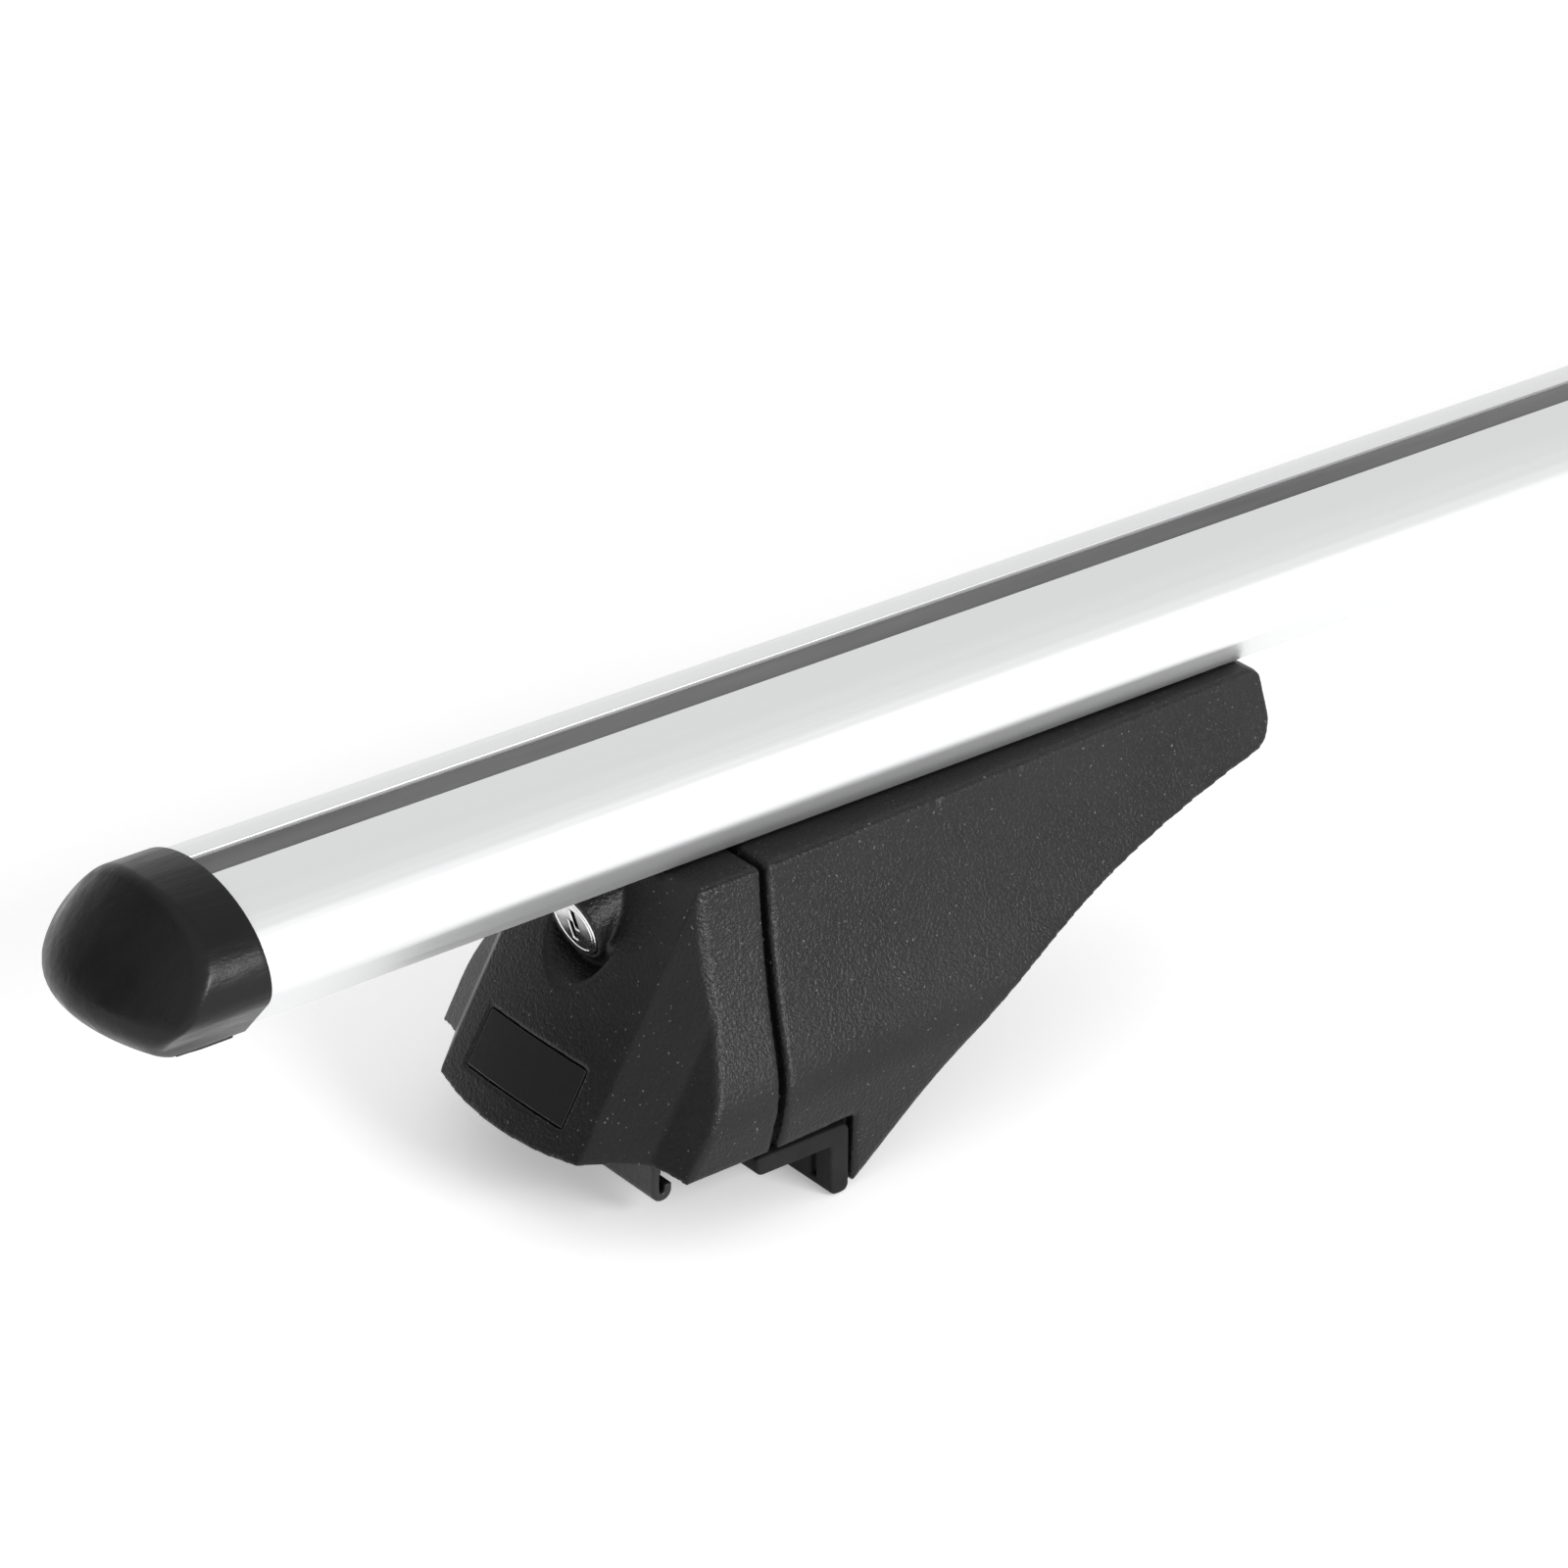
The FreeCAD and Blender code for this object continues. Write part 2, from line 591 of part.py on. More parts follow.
def facet_waste(shift, side, rate_b):
    """What lies outside one facet of the cover"""
    rate = FACET_B_RATE if rate_b else FACET_A_RATE
    corners = [
        Vector(facet_start_x(BELOW_Z, shift, rate_b), 0, BELOW_Z),
        Vector(facet_start_x(ABOVE_Z, shift, rate_b), 0, ABOVE_Z),
        Vector(-FAR, 0, ABOVE_Z),
        Vector(-FAR, 0, BELOW_Z),
    ]
    reach = FAR / 4.0
    return polygon(corners).extrude(Vector(rate * reach, side * reach, 0))


def panel_core(depth, shift=0.0):
    """Large round block whose surface is the bowed end panel, or lies under it by the depth"""
    slope = math.hypot(1.0, PANEL_SLOPE)
    inward = Vector(1.0 / slope, 0, -PANEL_SLOPE / slope)
    upward = Vector(PANEL_SLOPE / slope, 0, 1.0 / slope)
    foot = Vector(PANEL_FOOT_X + shift, 0, PANEL_FOOT_Z)
    base = foot + inward * (PANEL_RADIUS - PANEL_BOW) - upward * FAR
    return Part.makeCylinder(PANEL_RADIUS - depth, 2.0 * FAR, base, upward)


def cover_form(inset, shift, top, back):
    """Block with the cover's outline: bowed sides, tilted panel and facets with a fold between them"""
    form = foot_prism(-FAR / 4.0, back, inset, top).common(panel_core(0.0, shift))
    wastes = [facet_waste(shift, side, False).common(facet_waste(shift, side, True)) for side in (1.0, -1.0)]
    return form.cut(wastes)


def cover_bottom():
    """Seen along the bar, what lies below the cover: a bowed middle and a shallow arch each side"""
    corner = PANEL_HALF_WIDTH + (FOOT_HALF_WIDTH - PANEL_HALF_WIDTH) * COVER_CORNER_SHARE
    arch = (PANEL_HALF_WIDTH + corner) / 2.0
    x = -FAR / 2.0
    panel_right = Vector(x, PANEL_HALF_WIDTH, COVER_PANEL_Z)
    panel_left = Vector(x, -PANEL_HALF_WIDTH, COVER_PANEL_Z)
    edges = [arc(panel_left, Vector(x, 0, COVER_MIDDLE_Z), panel_right)]
    for side in (1.0, -1.0):
        start = Vector(x, side * PANEL_HALF_WIDTH, COVER_PANEL_Z)
        end = Vector(x, side * corner, COVER_CORNER_Z)
        out = Vector(x, side * FAR, COVER_CORNER_Z)
        edges.append(arc(start, Vector(x, side * arch, COVER_ARCH_Z), end))
        edges.append(line(end, out))
        edges.append(line(out, Vector(x, side * FAR, -FAR)))
    edges.append(line(Vector(x, FAR, -FAR), Vector(x, -FAR, -FAR)))
    return face_of(edges).extrude(Vector(FAR, 0, 0))


def lock_axis():
    tilt = math.radians(LOCK_TILT)
    return Vector(math.cos(tilt), 0, math.sin(tilt))


def lock_rod(radius, start, end):
    """Round rod on the lock's axis, measured inwards from the lock's face"""
    face = Vector(LOCK_FACE_X, 0, LOCK_FACE_Z)
    return Part.makeCylinder(radius, end - start, face + lock_axis() * start, lock_axis())


def badge_block(margin):
    """Block square to the end panel at the badge's place, from inside the shell to outside it"""
    slope = math.hypot(1.0, PANEL_SLOPE)
    inward = Vector(1.0 / slope, 0, -PANEL_SLOPE / slope)
    upward = Vector(PANEL_SLOPE / slope, 0, 1.0 / slope)
    middle = Vector(PANEL_FOOT_X + PANEL_SLOPE * (BADGE_Z - PANEL_FOOT_Z), 0, BADGE_Z)
    middle = middle - inward * BADGE_HEIGHT
    half_width = BADGE_WIDTH / 2.0 - margin
    half_height = BADGE_HEIGHT / 2.0 - margin
    corners = []
    for across, up in ((-1, -1), (1, -1), (1, 1), (-1, 1)):
        corners.append(middle + Vector(0, across * half_width, 0) + upward * (up * half_height))
    return polygon(corners).extrude(inward * (2.0 * BADGE_HEIGHT))


def make_cover():
    """Shell that slides over the neck from outside and carries the lock and the badge"""
    seam = [(seam_x(BELOW_Z), BELOW_Z), (seam_x(ABOVE_Z), ABOVE_Z), (FAR, ABOVE_Z), (FAR, BELOW_Z)]
    scoop = lock_rod(LOCK_POCKET_RADIUS, -FAR / 4.0, LOCK_POCKET_DEPTH)
    outside = cover_form(0.0, 0.0, COVER_TOP_Z, SEAM_TOP_X + OVERRUN)
    outside = outside.cut([side_view(seam), cover_bottom(), scoop])
    boss_radius = LOCK_HEAD_RADIUS + LOCK_BORE_GAP + LOCK_BOSS_WALL
    outside = outside.fuse(lock_rod(boss_radius, 0.0, LOCK_BOSS_LENGTH))
    inside = cover_form(COVER_WALL, PANEL_SHIFT, COVER_TOP_Z - COVER_WALL, FAR)
    floor = LOCK_POCKET_DEPTH + COVER_WALL
    inside = inside.cut(lock_rod(LOCK_POCKET_RADIUS + COVER_WALL, -FAR / 4.0, floor))
    head = lock_rod(LOCK_HEAD_RADIUS + LOCK_BORE_GAP, -OVERRUN, LOCK_HEAD_LENGTH)
    bore_end = LOCK_BODY_LENGTH + LOCK_BORE_OVERRUN
    bore = lock_rod(LOCK_BODY_RADIUS + LOCK_BORE_GAP, -OVERRUN, bore_end)
    badge = badge_block(0.0).cut(panel_core(BADGE_DEPTH))
    return outside.cut([inside, head, bore, badge]).removeSplitter()


def make_badge():
    """Blank gloss insert in the badge recess, bowed like the panel"""
    back = BADGE_DEPTH - BADGE_SEAT
    plate = badge_block(BADGE_GAP).common(panel_core(back - BADGE_THICKNESS))
    return plate.cut(panel_core(back))


# Lock

def make_lock_barrel():
    """Lock housing: a flanged tube that the plug turns in"""
    barrel = lock_rod(LOCK_HEAD_RADIUS, 0.0, LOCK_HEAD_LENGTH)
    barrel = barrel.fuse(lock_rod(LOCK_BODY_RADIUS, LOCK_HEAD_LENGTH, LOCK_BODY_LENGTH))
    face = lock_rod(PLUG_FACE_RADIUS + PLUG_GAP, -OVERRUN, PLUG_FACE_LENGTH + PLUG_GAP)
    bore = lock_rod(PLUG_RADIUS + PLUG_GAP, -OVERRUN, FAR)
    return barrel.cut([face, bore])


def turned_to_lock(shape):
    """Shape drawn about X at the origin, moved to the lock's face and axis"""
    turned = shape.copy()
    turned.rotate(Vector(0, 0, 0), Vector(0, 1, 0), -LOCK_TILT)
    turned.translate(Vector(LOCK_FACE_X, 0, LOCK_FACE_Z))
    return turned


def make_lock_plug():
    """Plug with a round face, a stepped keyway and a tail for the cam"""
    plug = rod(PLUG_FACE_RADIUS, 0.0, PLUG_FACE_LENGTH)
    plug = plug.fuse(rod(PLUG_RADIUS, PLUG_FACE_LENGTH, LOCK_BODY_LENGTH + PLUG_GAP))
    plug = plug.fuse(rod(PLUG_TAIL_RADIUS, LOCK_BODY_LENGTH, LOCK_BODY_LENGTH + CAM_GAP + CAM_THICKNESS))
    half = KEYWAY_WIDTH / 2.0
    reach = KEYWAY_LENGTH / 2.0
    jog = KEYWAY_JOG / 2.0
    upper = box(-OVERRUN, KEYWAY_DEPTH, -half - jog, half - jog, -half, reach)
    lower = box(-OVERRUN, KEYWAY_DEPTH, -half + jog, half + jog, -reach, half)
    return turned_to_lock(plug.cut([upper, lower]))


def make_lock_cam():
    """Flat cam on the plug's tail, lying sideways while the lock is open"""
    start = LOCK_BODY_LENGTH + CAM_GAP
    end = start + CAM_THICKNESS
    half = CAM_WIDTH / 2.0
    tip = half - CAM_REACH
    cam = rod(half, start, end).fuse([box(start, end, tip, 0.0, -half, half), rod(half, start, end, tip)])
    return turned_to_lock(cam.cut(rod(PLUG_TAIL_RADIUS, start - OVERRUN, end + OVERRUN)).removeSplitter())


# Jaw pad and clamp

def make_jaw_pad():
    """Rubber angle: its top leg rests on the rail and its upright leg bears on the rail's inner side"""
    under = NOTCH_Z - PAD_TOP_THICKNESS
    leg = NOTCH_X - PAD_LEG_THICKNESS
    half = PAD_HALF_WIDTH
    top = box(PAD_LEFT_X, NOTCH_X, -half, half, under, NOTCH_Z)
    upright = box(leg, NOTCH_X, -half, half, 0.0, NOTCH_Z)
    pad = top.fuse(upright).removeSplitter()
    rounded = []
    for edge in pad.Edges:
        middle = edge.CenterOfMass
        along_y = abs(middle.y) < NEAR
        left_end = abs(middle.x - PAD_LEFT_X) < NEAR and abs(middle.z - under) < NEAR
        leg_end = abs(middle.z) < NEAR
        heel = abs(middle.x - NOTCH_X) < NEAR and abs(middle.z - NOTCH_Z) < NEAR
        if along_y and (left_end or leg_end or heel) and edge.Length > half:
            rounded.append(edge)
    pad = pad.makeFillet(PAD_ROUND, rounded)
    middle_z = under / 2.0
    for side in (1.0, -1.0):
        y = side * PAD_GROOVE_Y
        width = PAD_GROOVE_WIDTH / 2.0
        low = middle_z - PAD_GROOVE_HEIGHT / 2.0
        high = low + PAD_GROOVE_HEIGHT
        pad = pad.cut(box(leg - OVERRUN, leg + PAD_GROOVE_DEPTH, y - width, y + width, low, high))
    return pad


def make_claw():
    """Bent steel plate with a joggle and a hooked lip that goes under the rail"""
    thick = CLAW_THICKNESS
    low_x = CLAW_LOWER_X
    high_x = CLAW_UPPER_X
    outside = CLAW_HOOK_INSIDE + thick
    hook_x = low_x + outside
    hook_z = CLAW_BOTTOM_Z + outside
    wide = CLAW_HALF_WIDTH
    slim = CLAW_UPPER_HALF_WIDTH
    bend = thick * CLAW_JOG_SHARE
    lower = box(low_x, low_x + thick, -wide, wide, hook_z, CLAW_JOG_LOW_Z)
    upper = box(high_x, high_x + thick, -slim, slim, CLAW_JOG_HIGH_Z, CLAW_TOP_Z)
    jog = [
        Vector(low_x, -slim, CLAW_JOG_LOW_Z),
        Vector(low_x + thick, -slim, CLAW_JOG_LOW_Z - bend),
        Vector(high_x + thick, -slim, CLAW_JOG_HIGH_Z),
        Vector(high_x, -slim, CLAW_JOG_HIGH_Z + bend),
    ]
    slant = polygon(jog).extrude(Vector(0, 2.0 * slim, 0))
    centre = Vector(hook_x, -wide, hook_z)
    ring = Part.makeCylinder(outside, 2.0 * wide, centre, Vector(0, 1, 0))
    ring = ring.cut(Part.makeCylinder(CLAW_HOOK_INSIDE, 2.0 * wide, centre, Vector(0, 1, 0)))
    ring = ring.cut(box(-FAR, FAR, -FAR, FAR, hook_z, FAR))
    tip_x = hook_x + CLAW_HOOK_INSIDE
    tip = box(tip_x, tip_x + thick, -wide, wide, hook_z, hook_z + CLAW_TIP_RISE)
    claw = lower.fuse([upper, slant, ring, tip]).removeSplitter()
    hole = rod(SCREW_RADIUS + SCREW_HOLE_GAP, -FAR, FAR, 0.0, SCREW_Z)
    return claw.cut(hole)


def make_claw_pad():
    """Rubber strip on the claw's inner face, above its hook"""
    x = CLAW_LOWER_X + CLAW_THICKNESS
    half = CLAW_PAD_HALF_WIDTH
    low = CLAW_BOTTOM_Z + CLAW_HOOK_INSIDE + CLAW_THICKNESS + CLAW_TIP_RISE + CLAW_PAD_RISE
    return box(x, x + CLAW_PAD_THICKNESS, -half, half, low, low + CLAW_PAD_HEIGHT)


def make_clamp_screw():
    """Socket head screw that draws the claw towards the jaw pad"""
    seat = CLAW_UPPER_X - SCREW_WASHER_THICKNESS
    head_end = seat - SCREW_HEAD_LENGTH
    screw = rod(SCREW_HEAD_RADIUS, head_end, seat, 0.0, SCREW_Z)
    screw = screw.fuse(rod(SCREW_RADIUS, seat, SCREW_END_X, 0.0, SCREW_Z))
    return screw.cut(hexagon_x(SCREW_SOCKET, head_end - OVERRUN, head_end + SCREW_SOCKET_DEPTH, SCREW_Z))


def make_clamp_washer():
    start = CLAW_UPPER_X - SCREW_WASHER_THICKNESS
    washer = rod(SCREW_WASHER_RADIUS, start, CLAW_UPPER_X, 0.0, SCREW_Z)
    return washer.cut(rod(SCREW_RADIUS + SCREW_HOLE_GAP, -FAR, FAR, 0.0, SCREW_Z))


def make_clamp_nut():
    nut = hexagon_x(NUT_FLATS, NUT_X, NUT_X + NUT_THICKNESS, SCREW_Z)
    return nut.cut(rod(SCREW_RADIUS + THREAD_GAP, -FAR, FAR, 0.0, SCREW_Z))


# Channel bolts

WASHER_TOP_Z = FOOT_TOP_Z - BOLT_PLATE
NUT_TOP_Z = WASHER_TOP_Z - BOLT_WASHER_THICKNESS
BOLT_BOTTOM_Z = NUT_TOP_Z - BOLT_NUT_THICKNESS - BOLT_END


def make_bolt(x):
    """Tee bolt: an oblong head in the bar's channel and a round shank"""
    seat = CHANNEL_FLOOR_Z + BOLT_SEAT_GAP
    half = CHANNEL_WIDTH / 2.0 - BOLT_HEAD_SIDE_GAP
    length = BOLT_HEAD_LENGTH / 2.0
    head = box(x - length, x + length, -half, half, seat, seat + BOLT_HEAD_HEIGHT)
    return head.fuse(post(BOLT_RADIUS, BOLT_BOTTOM_Z, seat + BOLT_HEAD_HEIGHT / 2.0, x)).removeSplitter()


def make_bolt_washer(x):
    washer = post(BOLT_WASHER_RADIUS, NUT_TOP_Z, WASHER_TOP_Z, x)
    return washer.cut(post(BOLT_RADIUS + BOLT_HOLE_GAP, 0.0, FAR, x))


def make_bolt_nut(x):
    nut = hexagon_z(BOLT_NUT_FLATS, NUT_TOP_Z - BOLT_NUT_THICKNESS, NUT_TOP_Z, x)
    return nut.cut(post(BOLT_RADIUS + THREAD_GAP, 0.0, FAR, x))


def foot_parts():
    """Every piece of one foot, about the middle of its roof rail"""
    pieces = {
        "foot_body": make_foot_body(),
        "foot_cover": make_cover(),
        "badge_insert": make_badge(),
        "lock_barrel": make_lock_barrel(),
        "lock_plug": make_lock_plug(),
        "lock_cam": make_lock_cam(),
        "jaw_pad": make_jaw_pad(),
        "clamp_claw": make_claw(),
        "claw_pad": make_claw_pad(),
        "clamp_screw": make_clamp_screw(),
        "clamp_washer": make_clamp_washer(),
        "clamp_nut": make_clamp_nut(),
    }
    for place, x in BOLT_PLACES.items():
        pieces["channel_bolt_" + place] = make_bolt(x)
        pieces["channel_washer_" + place] = make_bolt_washer(x)
        pieces["channel_nut_" + place] = make_bolt_nut(x)
    return pieces


def half_turn(shape):
    """Copy turned half round about the upright axis at the origin"""
    turned = shape.copy()
    turned.rotate(Vector(0, 0, 0), Vector(0, 0, 1), 180.0)
    return turned


def write(name, shape):
    shape.exportStep(os.path.join("parts", name + ".step"))


def main():
    os.makedirs("parts", exist_ok=True)
    write("bar_extrusion", make_bar())
    write("slot_strip", make_strip())
    cap = make_left_cap()
    write("left_end_cap", cap)
    write("right_end_cap", half_turn(cap))
    for name, shape in foot_parts().items():
        shape.translate(Vector(-FOOT_X, 0, 0))
        write("left_" + name, shape)
        write("right_" + name, half_turn(shape))


main()
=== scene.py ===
# Roof rack crossbar: an aluminium half-moon bar on two lockable feet that clamp on a car's roof rails.
# Metres, in the frame of the solids: X along the bar, Z up. The camera stands where the photograph's stood.
import math

import bmesh
import bpy
from mathutils import Matrix, Vector, kdtree


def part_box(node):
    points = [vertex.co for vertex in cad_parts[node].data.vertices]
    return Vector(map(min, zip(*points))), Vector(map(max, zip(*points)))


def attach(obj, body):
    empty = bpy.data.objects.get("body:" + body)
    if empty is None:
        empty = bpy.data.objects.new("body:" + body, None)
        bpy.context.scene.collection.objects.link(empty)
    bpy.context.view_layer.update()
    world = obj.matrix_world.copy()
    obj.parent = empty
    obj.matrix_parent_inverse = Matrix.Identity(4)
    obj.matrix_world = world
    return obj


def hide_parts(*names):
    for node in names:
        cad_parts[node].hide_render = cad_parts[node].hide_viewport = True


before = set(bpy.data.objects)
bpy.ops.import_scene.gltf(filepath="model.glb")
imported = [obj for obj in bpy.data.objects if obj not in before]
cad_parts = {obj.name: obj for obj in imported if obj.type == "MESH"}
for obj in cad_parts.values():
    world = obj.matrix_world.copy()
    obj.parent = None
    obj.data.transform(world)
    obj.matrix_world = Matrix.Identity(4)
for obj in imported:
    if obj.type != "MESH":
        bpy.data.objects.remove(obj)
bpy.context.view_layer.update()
scene = bpy.context.scene


# Bar
# A hollow extrusion of aluminium, satin anodised and cut to length. Its faint lines run the way that it
# left the die, so the finish's streaks are long in X, and its long edges have the die's small radius.
BAR_TONE = (0.86, 0.865, 0.87, 1.0)
BAR_METAL = 0.72
BAR_ROUGHNESS = (0.34, 0.44)
BAR_STREAKS = (2.5, 700.0, 700.0)
BAR_STREAK_LIFT = 0.04
BAR_EDGE_RADIUS = 0.00035
SAME_PLACE = 2e-6
FLAT_WITHIN = math.radians(0.2)
REAL_EDGE = math.radians(24.0)
ALONG_X = 0.999


def new_finish(name, tone, metallic=0.0, roughness=0.5, gloss=0.5):
    """Principled finish"""
    finish = bpy.data.materials.new(name)
    finish.use_nodes = True
    shader = finish.node_tree.nodes["Principled BSDF"]
    shader.inputs["Base Color"].default_value = tone
    shader.inputs["Metallic"].default_value = metallic
    shader.inputs["Roughness"].default_value = roughness
    shader.inputs["Specular IOR Level"].default_value = gloss
    return finish


def add(finish, kind, **settings):
    """New node in a finish, with its inputs set by name"""
    node = finish.node_tree.nodes.new(kind)
    for name, value in settings.items():
        node.inputs[name.replace("_", " ")].default_value = value
    return node


def join(finish, out_socket, in_socket):
    finish.node_tree.links.new(out_socket, in_socket)


def to_shader(finish, out_socket, name):
    join(finish, out_socket, finish.node_tree.nodes["Principled BSDF"].inputs[name])


def place_on(finish, scale, turn=(0.0, 0.0, 0.0)):
    """Object coordinates, turned and scaled for one pattern"""
    where = add(finish, "ShaderNodeTexCoord")
    turned = add(finish, "ShaderNodeMapping", Rotation=turn)
    sized = add(finish, "ShaderNodeMapping", Scale=scale)
    join(finish, where.outputs["Object"], turned.inputs["Vector"])
    join(finish, turned.outputs["Vector"], sized.inputs["Vector"])
    return sized.outputs["Vector"]


def grain(finish, scale, detail=2.0, roughness=0.5, turn=(0.0, 0.0, 0.0)):
    """Noise from 0 to 1, with its scale in waves a metre along each axis"""
    noise = add(finish, "ShaderNodeTexNoise", Scale=1.0, Detail=detail, Roughness=roughness)
    join(finish, place_on(finish, scale, turn), noise.inputs["Vector"])
    return noise.outputs["Fac"]


def spread(finish, value, low, high, lowest=0.3, highest=0.7):
    """Value between lowest and highest, spread between low and high"""
    ranged = add(finish, "ShaderNodeMapRange", From_Min=lowest, From_Max=highest, To_Min=low, To_Max=high)
    join(finish, value, ranged.inputs["Value"])
    return ranged.outputs["Result"]


def sockets_of(sockets, kind):
    return [socket for socket in sockets if socket.type == kind]


def blend_tones(finish, share, first, second):
    """Mix of two tones, each a colour or another mix"""
    mix = finish.node_tree.nodes.new("ShaderNodeMix")
    mix.data_type = "RGBA"
    for socket, tone in zip(sockets_of(mix.inputs, "RGBA"), (first, second)):
        if isinstance(tone, tuple):
            socket.default_value = tone
        else:
            join(finish, tone, socket)
    join(finish, share, mix.inputs["Factor"])
    return sockets_of(mix.outputs, "RGBA")[0]


def larger_of(finish, first, second):
    greater = finish.node_tree.nodes.new("ShaderNodeMath")
    greater.operation = "MAXIMUM"
    join(finish, first, greater.inputs[0])
    join(finish, second, greater.inputs[1])
    return greater.outputs["Value"]


def raise_by(finish, height, strength, depth, under=None):
    """Relief from a height of 0 to 1, over another relief or alone"""
    relief = add(finish, "ShaderNodeBump", Strength=strength, Distance=depth)
    join(finish, height, relief.inputs["Height"])
    if under is not None:
        join(finish, under, relief.inputs["Normal"])
    to_shader(finish, relief.outputs["Normal"], "Normal")
    return relief.outputs["Normal"]


def skin_of(node):
    """A solid's loose triangles, merged into one closed skin"""
    skin = bmesh.new()
    skin.from_mesh(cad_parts[node].data)
    bmesh.ops.remove_doubles(skin, verts=skin.verts, dist=SAME_PLACE)
    return skin


def mesh_of(skin, name):
    mesh = bpy.data.meshes.new(name)
    skin.to_mesh(mesh)
    skin.free()
    return mesh


def worked(mesh, steps):
    """Mesh after the modifiers that the steps name"""
    blank = bpy.data.objects.new(mesh.name, mesh)
    scene.collection.objects.link(blank)
    for kind, settings in steps:
        modifier = blank.modifiers.new(kind, kind)
        for key, value in settings.items():
            setattr(modifier, key, value)
    depsgraph = bpy.context.evaluated_depsgraph_get()
    result = bpy.data.meshes.new_from_object(blank.evaluated_get(depsgraph))
    bpy.data.objects.remove(blank)
    return result


def smooth(mesh):
    for facet in mesh.polygons:
        facet.use_smooth = True
    return mesh


def fit_piece(name, mesh, finish, body, slot, *nodes):
    """Piece with its place in its mesh, which rides on a body and stands for solids"""
    mesh.name = name
    mesh.materials.clear()
    mesh.materials.append(finish)
    piece = bpy.data.objects.new(name, mesh)
    scene.collection.objects.link(piece)
    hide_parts(*nodes)
    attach(piece, body)
    return piece


EVEN_SHADING = ("WEIGHTED_NORMAL", {"keep_sharp": True, "weight": 50})


def extrusion_of(node, name, radius):
    """Copy of a solid that runs along X, with a small radius on its long edges"""
    skin = skin_of(node)
    bmesh.ops.dissolve_limit(skin, angle_limit=FLAT_WITHIN, verts=skin.verts, edges=skin.edges)
    long_edges = []
    for edge in skin.edges:
        run = edge.verts[1].co - edge.verts[0].co
        if edge.is_manifold and abs(run.normalized().x) > ALONG_X and edge.calc_face_angle() > REAL_EDGE:
            long_edges.append(edge)
    bmesh.ops.bevel(skin, geom=long_edges, offset=radius, segments=2, profile=0.5, affect="EDGES")
    return worked(smooth(mesh_of(skin, name)), [EVEN_SHADING])


satin_aluminium = new_finish("satin_aluminium", BAR_TONE, BAR_METAL)
die_lines = grain(satin_aluminium, BAR_STREAKS, 3.0)
to_shader(satin_aluminium, spread(satin_aluminium, die_lines, *BAR_ROUGHNESS), "Roughness")
raise_by(satin_aluminium, die_lines, BAR_STREAK_LIFT, 0.0002)
fit_piece("bar_profile", extrusion_of("bar_extrusion", "bar_profile", BAR_EDGE_RADIUS), satin_aluminium,
          "bar", "bar_aluminium", "bar_extrusion")


# Slot strip
# Rubber extruded to the slot's shape and pushed in under its lips. Its face is matt grey, a little
# paler where dust lies in its fine lengthways lines.
STRIP_TONE = (0.105, 0.105, 0.108, 1.0)
STRIP_DUST = (0.17, 0.17, 0.17, 1.0)
STRIP_LINES = (8.0, 1400.0, 1400.0)
STRIP_EDGE_RADIUS = 0.0003
strip_rubber = new_finish("strip_rubber", STRIP_TONE, roughness=0.72)
rubber_lines = grain(strip_rubber, STRIP_LINES)
dust = spread(strip_rubber, grain(strip_rubber, (12.0, 90.0, 90.0), 4.0), 0.0, 1.0)
to_shader(strip_rubber, blend_tones(strip_rubber, dust, STRIP_TONE, STRIP_DUST), "Base Color")
raise_by(strip_rubber, rubber_lines, 0.12, 0.0002)
fit_piece("slot_infill", extrusion_of("slot_strip", "slot_infill", STRIP_EDGE_RADIUS), strip_rubber,
          "bar", "strip_rubber", "slot_strip")


# End caps
# Moulded in black plastic and pushed on the bar's ends. A sleeve goes round the bar, two tongues go
# inside it, and the domed end leans and rolls over into the sleeve.
SIDES = ("left", "right")
BAR_HALF_LENGTH = 0.588
BAR_HALF_WIDTH = 0.025
BAR_BOTTOM_Z = 0.0742
BAR_TOP_Z = 0.1047
NOSE_Z = 0.0883
NOSE_RADIUS = 0.006
BAR_HALF_FLAT = 0.0145
LIP_RADIUS = 0.0016
CORNER_SHARE = 0.4
CAP_RIM = 0.001
CAP_FIT = 0.00012
CAP_SLEEVE = 0.012
CAP_ROLL = 0.0013
CAP_LIP = 0.0003
CAP_DRAFT = 0.0006
FACE_REACH = 0.0183
FACE_SPAN = 0.016
FACE_TILT = 0.0078
FACE_ARCH = 0.014
FACE_LIFT = -0.006
FACE_CROWN = 0.010
FACE_EDGE = 0.0021
FACE_TWIST = 0.003
RIDGE_HALF = 0.015
RIDGE_HEIGHT = 0.0004
RIDGE_INSET = 0.003
RIDGE_RISE = 0.006
RIDGE_ROOT = 0.0006
RIDGE_EASE = 0.0003
TONGUE_INSIDE = 0.0106
TONGUE_WIDTH = 0.0055
TONGUE_HALF_HEIGHT = 0.0055
TONGUE_LENGTH = 0.009
CAP_TONE = (0.004, 0.004, 0.0042, 1.0)
CAP_SHEEN = (0.22, 0.48)


def arc_points(middle, radius, first, last, count):
    """Points on an arc in (y, z), from one angle to the other"""
    turns = [first + (last - first) * step / count for step in range(count + 1)]
    return [(middle[0] + radius * math.cos(turn), middle[1] + radius * math.sin(turn)) for turn in turns]


